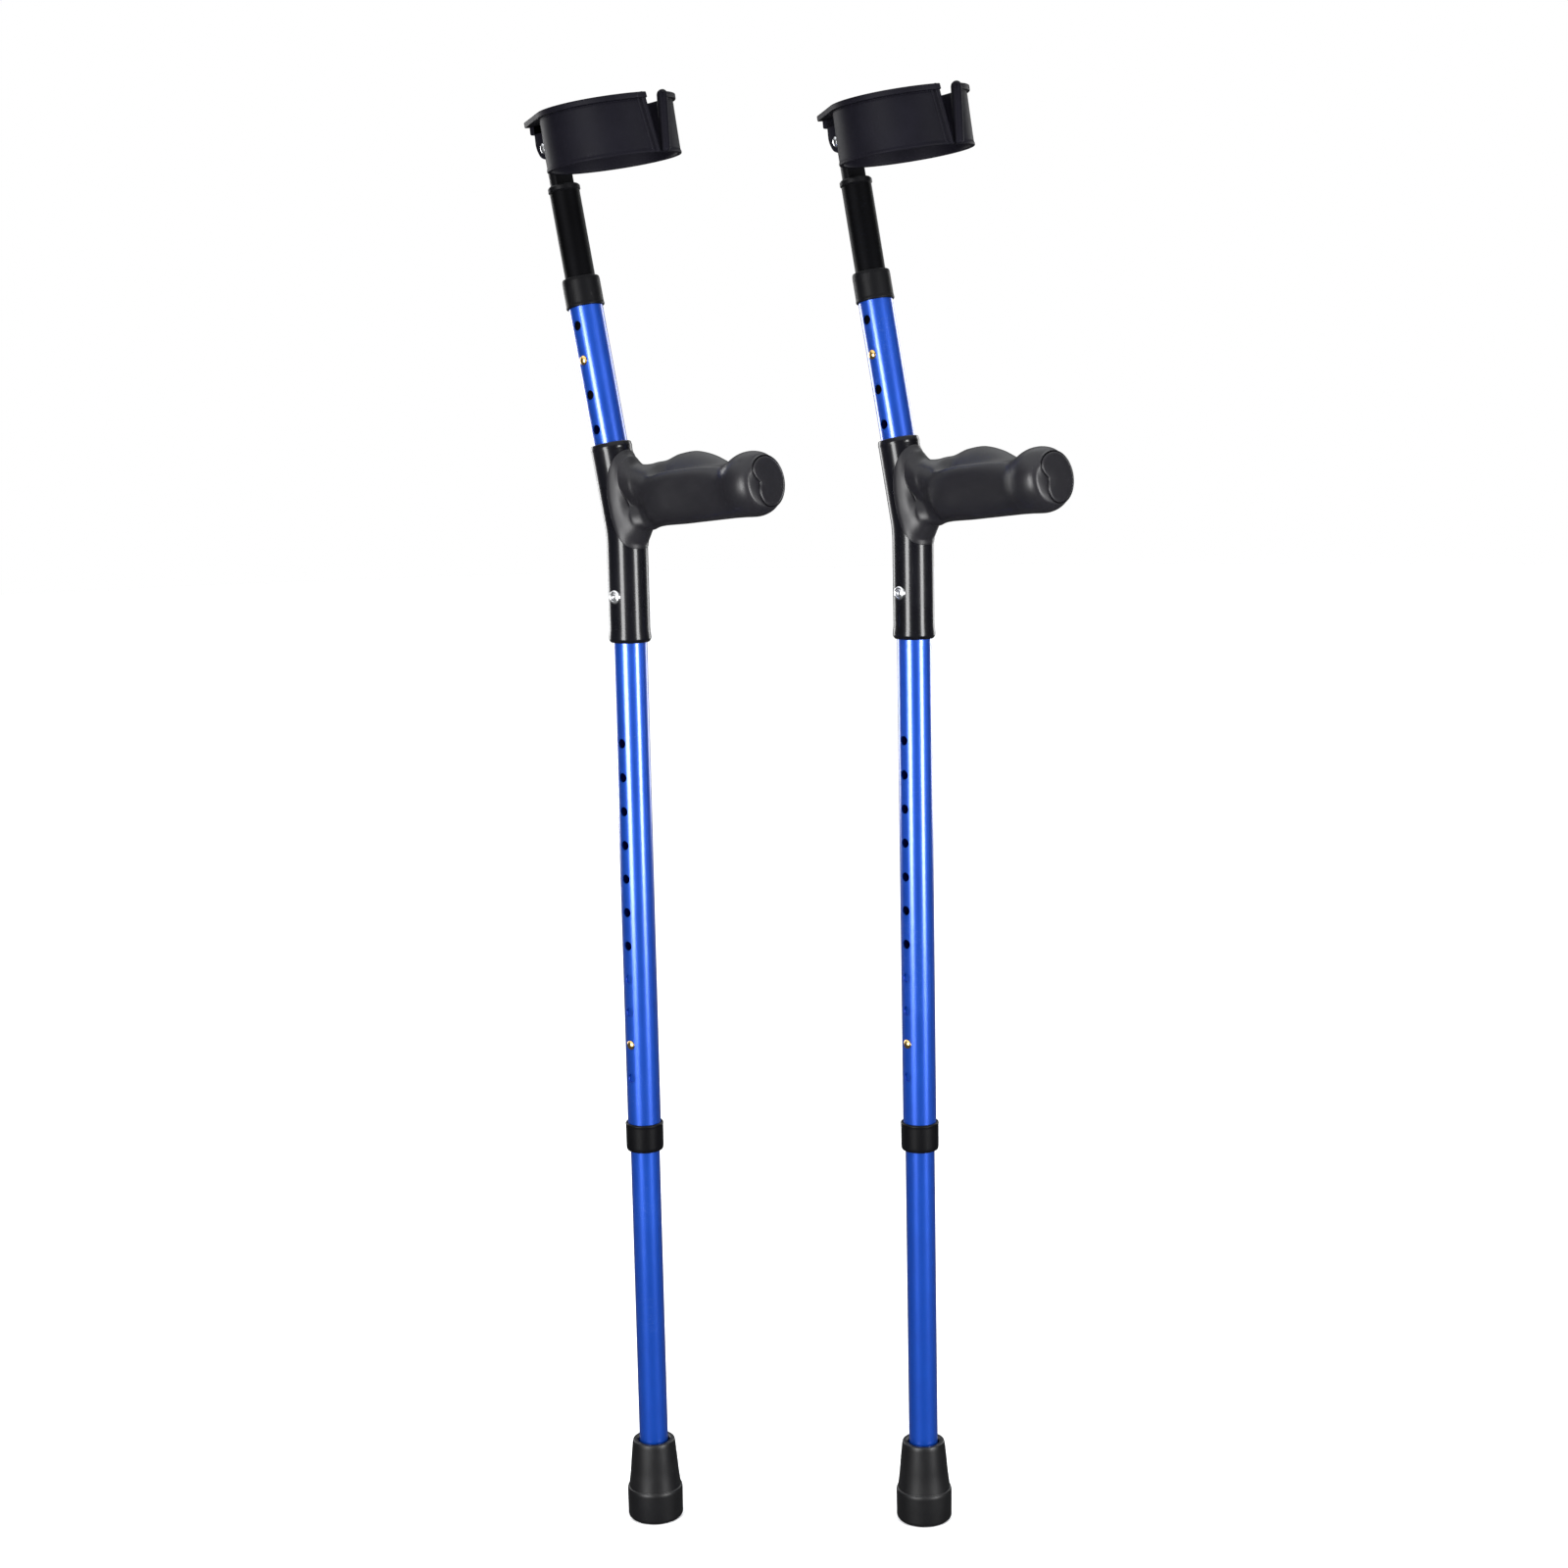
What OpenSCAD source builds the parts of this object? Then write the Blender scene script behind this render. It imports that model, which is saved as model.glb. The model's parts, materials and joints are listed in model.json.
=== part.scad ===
// A pair of height-adjustable elbow crutches with an open front cuff and a shaped palm grip.
// Each crutch stands on +Z with the centre of its tip's floor face at its own origin.
// The grip points along +X, the snap buttons face -Y and the palm wing is on +Y.

/* [Pair] */
// How far in front of the first crutch the second one stands
pair_forward = 168; // [120:1:260]
// How far to the palm-wing side of the first crutch the second one stands
pair_aside = 123; // [110:1:260]
// Turn of the second crutch about its leg, in degrees
pair_turn = -6.3; // [-15:0.1:15]

/* [Tubes] */
// Height of the bend in the handle hub above the floor
bend_z = 760.8; // [740:0.1:800]
// Lean of everything above the bend, away from the grip, in degrees
lean = 12; // [6:0.5:16]
// Outer diameter of the two blue outer tubes
outer_d = 25; // [24.6:0.1:26]
// Bore of the two blue outer tubes
outer_bore = 22.4; // [22.3:0.1:22.8]
// Outer diameter of the leg tube and of the cuff stem
inner_d = 22; // [21.6:0.1:22.1]
// Bore of the leg tube and of the cuff stem
inner_bore = 19; // [18.6:0.1:19.4]

/* [Height adjustment] */
// Distance from one adjustment hole to the next
hole_pitch = 25.4; // [20:0.1:26]
// Diameter of an adjustment hole
hole_d = 7; // [6.8:0.1:8]
// Height of the leg's snap button above the floor
leg_button_z = 378.3; // [370:0.1:385]
// Holes under the leg's snap button
leg_holes_below = 1; // [0:1:1]
// Holes over the leg's snap button
leg_holes_above = 9; // [4:1:9]
// Distance of the stem's snap button from the bend, along the upper tube
stem_button_u = 127.4; // [126:0.1:130]
// Holes under the stem's snap button
stem_holes_below = 2; // [0:1:2]
// Holes over the stem's snap button
stem_holes_above = 1; // [0:1:1]

/* [Tip] */
// Diameter of the rubber tip at the floor
tip_d = 42.6; // [36:0.1:50]
// Height of the rubber tip
tip_h = 62.7; // [55:0.1:66]
// Height of the straight band round the foot of the tip
tip_band_h = 24.5; // [18:0.1:30]

/* [Hub] */
// Outer diameter of the hub
hub_d = 30; // [29:0.1:33]
// Height of the hub's lower end above the floor
hub_bottom_z = 681; // [670:1:690]
// Length of the hub above the bend
hub_top_u = 65.7; // [60:0.1:68]
// Height of the hub's cross bolt above the floor
bolt_z = 715; // [700:1:725]

/* [Grip] */
// Rise of the grip towards its end, in degrees
grip_rise = 8; // [0:0.5:12]
// Height at which the grip's axis meets the leg's axis
grip_z = 781; // [776:1:786]
// Diameter of the grip at its middle
grip_d = 38; // [34:0.5:40]
// Diameter of the knob at the grip's end
knob_d = 45.6; // [42:0.1:50]
// Distance of the grip's end from the leg's axis
grip_reach = 137.5; // [130:0.5:145]

/* [Cuff] */
// Outer diameter of the cuff
cuff_d = 96; // [90:1:104]
// Height of the cuff's band
cuff_h = 41.5; // [38:0.5:46]
// Thickness of the cuff's wall
cuff_wall = 3; // [2.5:0.1:3.5]
// Distance of the cuff's pivot from the bend, along the upper tube
pivot_u = 283; // [282:0.5:286]
// Lean of the cuff against the stem, towards the grip, in degrees
cuff_lean = 5.8; // [0:0.1:7]
// Sideways lean of the cuff, in degrees
cuff_cant = 4.2; // [-5:0.1:5]
// Width of the cuff's front slot at its top
slot_top = 16.5; // [8:0.5:20]
// Width of the cuff's front slot at its foot
slot_foot = 2.6; // [1:0.1:4]

/* [Hidden] */
SIDES = ["first", "second"];
PIECES = [
    "ferrule", "ferrule_washer", "leg_tube", "leg_bush", "leg_spring", "leg_button", "leg_collar",
    "main_tube", "hub", "hub_bolt", "hub_nut", "grip", "grip_screw", "grip_cap",
    "upper_tube", "upper_rivet", "upper_collar",
    "stem_tube", "stem_bush", "stem_spring", "stem_button", "stem_head",
    "cuff", "cuff_rivet", "cuff_washer"
];

$fn = 96;
// Gap left between pieces that are pressed together, so that their faces do not cross
fit = 0.05;
// Gap of a pin that turns or slides in its hole
run = 0.05;
// Gap round a bolt in its clearance hole
loose = 0.2;
// Amount by which a cutting shape runs past what it cuts
over = 1;
// Width of the small bevels on turned pieces
edge = 1.2;
outer_r = outer_d / 2;
outer_bore_r = outer_bore / 2;
inner_r = inner_d / 2;
inner_bore_r = inner_bore / 2;

// Leg
leg_foot_z = 12;
leg_top_z = 440;
washer_t = 2;
main_foot_z = 298;
main_top_z = 745;
collar_foot_z = 294.8;
collar_h = 21.6;
collar_d = 28.5;
collar_lip_r = inner_r + 0.15;

// Upper section, measured along the leaning axis from the bend
upper_foot_u = 6;
upper_top_u = 183;
upper_collar_u = 166.1;
upper_collar_d = 27.8;
stem_foot_u = 95;
stem_top_u = 250.4;
rivet_u = 26;

// Glide bush in the end of an inner tube
bush_plug = 12;
bush_head = 4;
bush_d = 22.2;

// Snap button and its V spring
button_d = 6.7;
button_tip = 14.2;
button_root = 7.4;
button_flange_d = 8.2;
button_flange_t = 0.8;
dome = 1.4;
spring_t = 0.7;
spring_w = 8;
spring_far = 8;
spring_over = 6;
spring_knee = 9;
spring_drop = 38;

// Tip
tip_r = tip_d / 2;
tip_chamfer = 1.8;
tip_bead_z = tip_band_h + 2;
tip_neck_r = 16.4;
tip_cone_r = tip_r - 1.5;
tip_lip = 2.2;
tread_depth = 1.2;
tread_w = 2;
tread_radii = [7.5, 13];

// Hub
hub_r = hub_d / 2;
hub_lip = 0.6;
hub_lip_h = 3;
hub_round = 1.6;
tube_bore_r = outer_r + fit;
arm_r = 10;
arm_end = 120;
bolt_r = 2.5;
bolt_head_r = 5;
bolt_head_t = 2;
bolt_seat = 14.6;
socket_r = 1.6;
socket_depth = 1.2;
nut_r = 3.5;
nut_inner = 3;
bolt_inner = 10;
rivet_r = 2;
rivet_head_r = 4;
rivet_head_t = 1.4;
rivet_inner = 9;
rivet_tail_r = 2.8;
rivet_gap = 0.4;

// Grip
grip_r = grip_d / 2;
knob_r = knob_d / 2;
knob_round = 9.5;
knob_s = grip_reach - knob_round - 0.5;
bend_bulge = 0.2;
barrel_root = 10;
root_r = 14;
barrel_shoulder = 18;
shoulder_r = 18;
barrel_mid = 70;
waist_s = 111.5;
waist_r = 17.2;
wing_start = 14;
wing_mid = 44;
wing_top = 32;
wing_r = 70;
wing_in = 8;
wing_out = 22;
wing_length = 80;
saddle_r = 16.4;
saddle_top_u = 61.7;
saddle_z = 784;
saddle_reach = 34;
cap_r = 17.3;
cap_t = 4;
cap_plug = 4.5;
screw_wall = 4;
screw_recess_r = 8;
screw_head_r = 6;
screw_head_t = 4;
screw_inner = 99;

// Cuff
cuff_r = cuff_d / 2;
ring_forward = 56.6;
ring_foot = -19.9;
flange_t = 4.3;
flange_out = 2;
lug_r = 8.3;
neck_r = 9.35;
neck_front = 2.5;
lug_half = 6;
lug_foot_u = 268;
bead_r = 11.8;
bead_h = 5;
head_plug = 24;
pivot_x = -1;
pin_r = 3;
cheek_in = 6.3;
cheek_out = 11.5;
tab_back = -15.4;
block_back = -12.8;
block_foot = 11;
cheek_back = -8.7;
cheek_knee = 1;
cheek_nose = -8;
cheek_foot = -12;
slot_turn = -2.2;
near_bead_r = 2;
far_bead_r = 3.8;
far_bead_rise = 1;
pin_head_r = 4.4;
pin_head_t = 2.3;
pin_tail_r = 4;
pin_tail_t = 1.6;
washer_r = 5;
washer_thick = 0.8;

BLUE = [0.0, 0.24, 0.78];
GLOSS = [0.05, 0.05, 0.06];
SATIN = [0.10, 0.10, 0.12];
SOFT = [0.20, 0.20, 0.22];
RUBBER = [0.07, 0.07, 0.08];
BRASS = [0.80, 0.62, 0.25];
STEEL = [0.75, 0.76, 0.78];

function unit(v) = v / norm(v);
function left_of(a, b) = let (d = unit(b - a)) [-d.y, d.x];
function corner_normal(path, i) =
    let (before = left_of(path[max(i - 1, 0)], path[max(i, 1)]))
    let (last = len(path) - 1)
    let (after = left_of(path[min(i, last - 1)], path[min(i + 1, last)]))
    (before + after) / (1 + before * after);
function side_of(path, i, gap) = path[i] + gap * corner_normal(path, i);
// The leg's holes, and the stem's holes along the upper tube
function leg_hole_heights() =
    [for (i = [-leg_holes_below : leg_holes_above]) leg_button_z + i * hole_pitch];
function stem_hole_heights() =
    [for (i = [-stem_holes_below : stem_holes_above]) stem_button_u + i * hole_pitch];

// Stands a crutch in its place in the pair
module stand(side) {
    moved = side == "second" ? 1 : 0;
    translate([moved * pair_forward, moved * pair_aside, 0])
        rotate([0, 0, moved * pair_turn])
            children();
}

// The frame of the leaning upper section, with its origin at the bend
module upper() {
    translate([0, 0, bend_z]) rotate([0, -lean, 0]) children();
}

// The frame of the grip, with +X along its axis
module grip_frame() {
    translate([0, 0, grip_z]) rotate([0, -grip_rise, 0]) children();
}

// A cylinder along +X from one distance to another
module bar(r, from, to) {
    translate([from, 0, 0]) rotate([0, 90, 0]) cylinder(r = r, h = to - from);
}

// A cylinder along +Y from one distance to another
module cross(r, from, to) {
    translate([0, from, 0]) rotate([-90, 0, 0]) cylinder(r = r, h = to - from);
}

module tube(outside, inside, from, to) {
    translate([0, 0, from])
        difference() {
            cylinder(r = outside, h = to - from);
            translate([0, 0, -over]) cylinder(r = inside, h = to - from + 2 * over);
        }
}

// Holes through the button side of a tube
module button_holes(heights) {
    for (z = heights) translate([0, 0, z]) cross(hole_d / 2, -outer_r - over, 0);
}

// A flat strip bent along a path of [y, z] points
module strip(path, thickness, width) {
    last = len(path) - 1;
    near = [for (i = [0 : last]) side_of(path, i, thickness / 2)];
    far = [for (i = [0 : last]) side_of(path, last - i, -thickness / 2)];
    rotate([90, 0, 90]) translate([0, 0, -width / 2])
        linear_extrude(width) polygon(concat(near, far));
}

// A V spring: one leaf behind the button and one against the far wall
module v_spring() {
    front = -button_root + spring_t / 2 + fit;
    strip([
        [front, spring_over], [front, -spring_knee], [0, -spring_drop],
        [spring_far, -spring_knee], [spring_far, spring_over]
    ], spring_t, spring_w);
}

// A domed button with a flange that keeps it in its tube
module snap_button() {
    dome_r = (pow(button_d / 2, 2) + pow(dome, 2)) / (2 * dome);
    cross(button_flange_d / 2, -button_root - button_flange_t, -button_root);
    intersection() {
        cross(button_d / 2, -button_tip, -button_root);
        translate([0, -button_tip + dome_r, 0]) sphere(r = dome_r);
    }
    cross(button_d / 2, -button_tip + dome, -button_root - button_flange_t / 2);
}

// A plastic bush: a plug in the end of an inner tube and a head that glides in the outer one
module glide_bush() {
    translate([0, 0, -bush_plug]) cylinder(r = inner_bore_r - fit, h = bush_plug + bush_head / 2);
    cylinder(r = bush_d / 2, h = bush_head);
}

// A collar over the end of an outer tube, with a lip that guides the inner tube
module end_collar(outside_d, height, lip_h) {
    outside = outside_d / 2;
    rotate_extrude()
        polygon([
            [collar_lip_r, 0], [outside - edge, 0], [outside, edge], [outside, height - edge],
            [outside - edge, height], [tube_bore_r, height], [tube_bore_r, lip_h],
            [collar_lip_r, lip_h]
        ]);
}

module ferrule() color(RUBBER) {
    socket = inner_r + fit;
    difference() {
        rotate_extrude()
            polygon([
                [0, 0], [tip_r - tip_chamfer, 0], [tip_r, tip_chamfer], [tip_r, tip_band_h],
                [tip_r - edge, tip_bead_z], [tip_cone_r, tip_bead_z + edge],
                [tip_neck_r, tip_h - tip_lip], [tip_neck_r - edge, tip_h], [socket, tip_h],
                [socket, leg_foot_z - washer_t],
                [0, leg_foot_z - washer_t]
            ]);
        for (r = tread_radii)
            translate([0, 0, -over]) tube(r + tread_w, r, 0, over + tread_depth);
    }
}

module ferrule_washer() color(STEEL)
    translate([0, 0, leg_foot_z - washer_t]) cylinder(r = inner_r - fit, h = washer_t);

module leg_tube() color(BLUE)
    difference() {
        tube(inner_r, inner_bore_r, leg_foot_z, leg_top_z);
        button_holes([leg_button_z]);
    }

module leg_bush() color(SATIN)
    translate([0, 0, leg_top_z]) glide_bush();

module leg_spring() color(STEEL)
    translate([0, 0, leg_button_z]) v_spring();

module leg_button() color(BRASS)
    translate([0, 0, leg_button_z]) snap_button();

module leg_collar() color(SATIN)
    translate([0, 0, collar_foot_z])
        end_collar(collar_d, collar_h, main_foot_z - collar_foot_z);

module main_tube() color(BLUE)
    difference() {
        tube(outer_r, outer_bore_r, main_foot_z, main_top_z);
        button_holes(leg_hole_heights());
        translate([0, 0, bolt_z]) cross(bolt_r + loose, -outer_r - over, 0);
        translate([0, 0, bolt_z]) cross(nut_r + fit, 0, outer_r + over);
    }

module hub() color(GLOSS)
    difference() {
        union() {
            translate([0, 0, hub_bottom_z]) cylinder(r = hub_r, h = bend_z - hub_bottom_z);
            translate([0, 0, hub_bottom_z]) cylinder(r = hub_r + hub_lip, h = hub_lip_h);
            translate([0, 0, bend_z]) sphere(r = hub_r + bend_bulge);
            upper() rotate_extrude()
                polygon([
                    [0, 0], [hub_r, 0], [hub_r, hub_top_u - hub_round],
                    [hub_r - hub_round, hub_top_u], [0, hub_top_u]
                ]);
            grip_frame() bar(arm_r, 0, arm_end);
        }
        translate([0, 0, hub_bottom_z - over])
            cylinder(r = tube_bore_r, h = main_top_z - hub_bottom_z + 2 * over);
        upper() translate([0, 0, upper_foot_u - over]) cylinder(r = tube_bore_r, h = hub_top_u);
        translate([0, 0, bolt_z]) {
            cross(bolt_r + loose, -hub_d, 0);
            cross(nut_r + fit, 0, hub_d);
            cross(bolt_head_r + loose, -hub_d, -bolt_seat);
            cross(bolt_head_r + loose, bolt_seat, hub_d);
        }
        upper() translate([0, 0, rivet_u]) {
            bar(rivet_r + fit, -hub_d, 0);
            bar(rivet_head_r + loose, -hub_d, -bolt_seat);
        }
        grip_frame() bar(bolt_r + fit, screw_inner - over, arm_end + over);
    }

module hub_bolt() color(STEEL)
    translate([0, 0, bolt_z])
        difference() {
            union() {
                cross(bolt_r, -bolt_seat - bolt_head_t / 2, bolt_inner);
                cross(bolt_head_r, -bolt_seat - bolt_head_t, -bolt_seat);
            }
            cross(socket_r, -bolt_seat - bolt_head_t - over, -bolt_seat - bolt_head_t + socket_depth);
        }

module hub_nut() color(STEEL)
    translate([0, 0, bolt_z])
        difference() {
            union() {
                cross(nut_r, nut_inner, bolt_seat + bolt_head_t / 2);
                cross(bolt_head_r, bolt_seat, bolt_seat + bolt_head_t);
            }
            cross(bolt_r + run, nut_inner - over, bolt_inner + over);
        }

// The barrel and the knob, turned about the grip's axis
module grip_barrel() {
    rotate([0, 90, 0]) rotate_extrude() {
        polygon([
            [0, barrel_root], [root_r, barrel_root], [shoulder_r, barrel_shoulder],
            [grip_r, barrel_mid], [waist_r, waist_s], [knob_r - knob_round / 2, knob_s], [0, knob_s]
        ]);
        translate([knob_r - knob_round, knob_s]) circle(r = knob_round);
        translate([0, knob_s - knob_round]) square([knob_r - knob_round, knob_round * 2]);
    }
}

// The raised palm wing along the top of the +Y side
module palm_wing() {
    intersection() {
        translate([wing_mid, 0, wing_top - wing_r]) cross(wing_r, wing_in, wing_out);
        translate([wing_start, 0, 0]) cube([wing_length, hub_d, hub_d * 2]);
    }
}

// A thin shell round the front of the hub that the barrel grows out of
module saddle() {
    intersection() {
        union() {
            upper() cylinder(r = saddle_r, h = saddle_top_u);
            translate([0, 0, bend_z]) sphere(r = saddle_r + bend_bulge);
            translate([0, 0, bend_z - hub_d]) cylinder(r = saddle_r, h = hub_d);
        }
        translate([0, 0, saddle_z]) bar(saddle_reach, 0, hub_d);
    }
}

// The soft grip, moulded over the hub's arm
module grip() color(SOFT)
    difference() {
        union() {
            grip_frame() grip_barrel();
            grip_frame() palm_wing();
            saddle();
        }
        translate([0, 0, hub_bottom_z]) cylinder(r = hub_r + fit, h = bend_z - hub_bottom_z);
        translate([0, 0, bend_z]) sphere(r = hub_r + bend_bulge + fit);
        upper() cylinder(r = hub_r + fit, h = hub_top_u + hub_d);
        grip_frame() {
            bar(arm_r + fit, 0, arm_end + fit);
            bar(bolt_r + loose, arm_end, arm_end + screw_wall + over);
            bar(screw_recess_r, arm_end + screw_wall, grip_reach + over);
            bar(cap_r + fit, grip_reach - cap_t - fit, grip_reach + hub_d);
        }
    }

module grip_screw() color(STEEL)
    grip_frame() {
        bar(bolt_r, screw_inner, arm_end + screw_wall + over);
        bar(screw_head_r, arm_end + screw_wall, arm_end + screw_wall + screw_head_t);
    }

module grip_cap() color(SOFT)
    grip_frame() {
        bar(screw_recess_r - fit, grip_reach - cap_t - cap_plug, grip_reach - cap_t + over);
        bar(cap_r, grip_reach - cap_t, grip_reach);
    }

module upper_tube() color(BLUE)
    upper() difference() {
        tube(outer_r, outer_bore_r, upper_foot_u, upper_top_u);
        button_holes(stem_hole_heights());
        translate([0, 0, rivet_u]) bar(rivet_r + fit, -outer_r - over, 0);
    }

module upper_rivet() color(STEEL)
    upper() translate([0, 0, rivet_u]) {
        bar(rivet_r, -bolt_seat - rivet_head_t / 2, -rivet_inner);
        bar(rivet_head_r, -bolt_seat - rivet_head_t, -bolt_seat);
        bar(rivet_tail_r, -outer_bore_r + rivet_gap, -rivet_inner);
    }

module upper_collar() color(SATIN)
    upper() translate([0, 0, upper_collar_u + collar_h]) rotate([180, 0, 0])
        end_collar(upper_collar_d, collar_h, upper_collar_u + collar_h - upper_top_u);

module stem_tube() color(SATIN)
    upper() difference() {
        tube(inner_r, inner_bore_r, stem_foot_u, stem_top_u);
        button_holes([stem_button_u]);
    }

module stem_bush() color(SATIN)
    upper() translate([0, 0, stem_foot_u]) rotate([180, 0, 0]) glide_bush();

module stem_spring() color(STEEL)
    upper() translate([0, 0, stem_button_u]) rotate([0, 180, 0]) v_spring();

module stem_button() color(BRASS)
    upper() translate([0, 0, stem_button_u]) snap_button();

// The fitting in the top of the stem: a plug, a bead, a neck cut flat in front and a pivot lug
module stem_head() color(SATIN)
    upper() difference() {
        union() {
            translate([0, 0, stem_top_u - head_plug])
                cylinder(r = inner_bore_r - fit, h = head_plug + over);
            translate([0, 0, stem_top_u]) rotate_extrude()
                polygon([
                    [0, 0], [bead_r - edge, 0], [bead_r, edge], [bead_r, bead_h - edge],
                    [bead_r - edge, bead_h], [0, bead_h]
                ]);
            intersection() {
                union() {
                    translate([0, 0, stem_top_u + bead_h / 2])
                        cylinder(r = neck_r, h = lug_foot_u - stem_top_u - bead_h / 2);
                    intersection() {
                        cylinder(r = neck_r, h = pivot_u);
                        translate([-hub_r, -lug_half, lug_foot_u - over])
                            cube([hub_d, lug_half * 2, pivot_u]);
                    }
                    translate([pivot_x, 0, pivot_u]) cross(lug_r, -lug_half, lug_half);
                }
                translate([-hub_d, -hub_r, stem_top_u]) cube([hub_d + neck_front, hub_d, pivot_u]);
            }
        }
        translate([pivot_x, 0, pivot_u]) cross(pin_r + run, -hub_r, hub_r);
    }

// The frame of the cuff, with its origin on the pivot
module cuff_frame() {
    upper() translate([pivot_x, 0, pivot_u]) rotate([0, cuff_lean, 0]) children();
}

// The frame of the cuff's band, with its origin at the centre of the band's foot
module ring_frame() {
    translate([ring_forward, 0, ring_foot]) rotate([cuff_cant, 0, 0]) children();
}

// Outline of the top flange: a circle drawn out to a tab over the bracket
module flange_outline() {
    r = cuff_r + flange_out;
    corner = [tab_back - ring_forward, cheek_out];
    reach = norm(corner);
    turn = atan2(corner.y, corner.x) - acos(r / reach);
    touch = r * [cos(turn), sin(turn)];
    circle(r = r);
    polygon([[0, 0], touch, corner, [corner.x, -corner.y], [touch.x, -touch.y]]);
}

// A wedge that opens upwards, standing across the band's wall at the front
module slot_wedge() {
    rotate([0, 0, slot_turn]) rotate([90, 0, 90]) linear_extrude(cuff_r + hub_d)
        polygon([
            [-slot_foot / 2, -over], [slot_foot / 2, -over],
            [slot_top / 2, cuff_h + over], [-slot_top / 2, cuff_h + over]
        ]);
}

// A bead along one edge of the slot
module slot_bead(hand, r) {
    splay = atan2((slot_top - slot_foot) / 2, cuff_h);
    rotate([0, 0, slot_turn])
        translate([cuff_r - cuff_wall / 2, hand * (slot_foot / 2 + r), 0])
            rotate([-hand * splay, 0, 0]) cylinder(r = r, h = cuff_h + (hand > 0 ? far_bead_rise : 0));
}

module cuff_bracket() {
    wall_x = ring_forward - cuff_r + cuff_wall / 2;
    cheek_front = wall_x + cuff_wall / 2;
    top = ring_foot + cuff_h - flange_t / 2;
    for (hand = [-1, 1])
        translate([0, hand > 0 ? cheek_out : -cheek_in, 0]) rotate([90, 0, 0])
            linear_extrude(cheek_out - cheek_in)
                polygon([
                    [cheek_back, top], [cheek_back, cheek_knee], [0, cheek_nose],
                    [cheek_front, cheek_foot], [cheek_front, top]
                ]);
    translate([block_back, -cheek_out, block_foot])
        cube([wall_x - block_back, cheek_out * 2, top - block_foot]);
}

module cuff() color(SATIN)
    cuff_frame() difference() {
        union() {
            ring_frame() {
                cylinder(r = cuff_r, h = cuff_h);
                translate([0, 0, cuff_h - flange_t]) linear_extrude(flange_t) flange_outline();
                slot_bead(-1, near_bead_r);
                slot_bead(1, far_bead_r);
            }
            cuff_bracket();
        }
        ring_frame() {
            translate([0, 0, -over]) cylinder(r = cuff_r - cuff_wall, h = cuff_h + hub_d);
            slot_wedge();
            translate([0, 0, -hub_d]) cylinder(r = cuff_d, h = hub_d);
        }
        cross(pin_r + fit, -hub_r, hub_r);
    }

module cuff_rivet() color(STEEL)
    cuff_frame() {
        cap_round = (pin_head_r * pin_head_r / pin_head_t + pin_head_t) / 2;
        cross(pin_r, -cheek_out - over, cheek_out + washer_thick + over);
        cross(pin_tail_r, cheek_out + washer_thick, cheek_out + washer_thick + pin_tail_t);
        difference() {
            translate([0, -cheek_out - pin_head_t + cap_round, 0]) sphere(r = cap_round);
            cross(hub_d, -cheek_out, hub_d);
        }
    }

module cuff_washer() color(STEEL)
    cuff_frame() difference() {
        cross(washer_r, cheek_out, cheek_out + washer_thick);
        cross(pin_r + fit, cheek_out - over, cheek_out + washer_thick + over);
    }

for (side = SIDES) {
    stand(side) ferrule();
    stand(side) ferrule_washer();
    stand(side) leg_tube();
    stand(side) leg_bush();
    stand(side) leg_spring();
    stand(side) leg_button();
    stand(side) leg_collar();
    stand(side) main_tube();
    stand(side) hub();
    stand(side) hub_bolt();
    stand(side) hub_nut();
    stand(side) grip();
    stand(side) grip_screw();
    stand(side) grip_cap();
    stand(side) upper_tube();
    stand(side) upper_rivet();
    stand(side) upper_collar();
    stand(side) stem_tube();
    stand(side) stem_bush();
    stand(side) stem_spring();
    stand(side) stem_button();
    stand(side) stem_head();
    stand(side) cuff();
    stand(side) cuff_rivet();
    stand(side) cuff_washer();
}
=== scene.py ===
"""A pair of elbow crutches, dressed and lit in a plain white studio."""

import json
import logging
import math
from dataclasses import dataclass
from enum import Enum
from typing import Any, Sequence

import bpy
import numpy as np
from mathutils import Matrix, Vector


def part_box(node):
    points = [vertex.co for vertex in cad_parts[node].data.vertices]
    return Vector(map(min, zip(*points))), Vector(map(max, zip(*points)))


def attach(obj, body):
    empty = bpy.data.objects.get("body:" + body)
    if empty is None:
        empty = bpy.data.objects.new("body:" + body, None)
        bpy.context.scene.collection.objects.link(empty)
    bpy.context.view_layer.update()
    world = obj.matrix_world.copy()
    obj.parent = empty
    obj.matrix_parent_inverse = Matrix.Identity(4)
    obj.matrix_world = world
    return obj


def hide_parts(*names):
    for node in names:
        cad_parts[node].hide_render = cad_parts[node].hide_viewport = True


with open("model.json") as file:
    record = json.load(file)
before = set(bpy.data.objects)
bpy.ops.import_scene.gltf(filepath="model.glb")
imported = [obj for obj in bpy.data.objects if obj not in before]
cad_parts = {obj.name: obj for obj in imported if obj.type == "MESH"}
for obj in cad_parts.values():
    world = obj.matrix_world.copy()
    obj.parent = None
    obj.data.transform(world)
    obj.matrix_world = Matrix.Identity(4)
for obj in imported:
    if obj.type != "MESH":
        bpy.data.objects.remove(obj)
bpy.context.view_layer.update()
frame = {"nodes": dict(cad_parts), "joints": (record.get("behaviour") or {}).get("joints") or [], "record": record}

LOG = logging.getLogger("crutches")
MM = 0.001
ROUND_STEPS = 144
SHARP_ANGLE = 42.0

Triple = tuple[float, float, float]
Colour = tuple[float, float, float]


class Side(Enum):
    """The two crutches of the pair."""

    FIRST = "first"
    SECOND = "second"


class Axis(Enum):
    """An axis to turn about."""

    X = 0
    Y = 1
    Z = 2


# ---------------------------------------------------------------- frames


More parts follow.
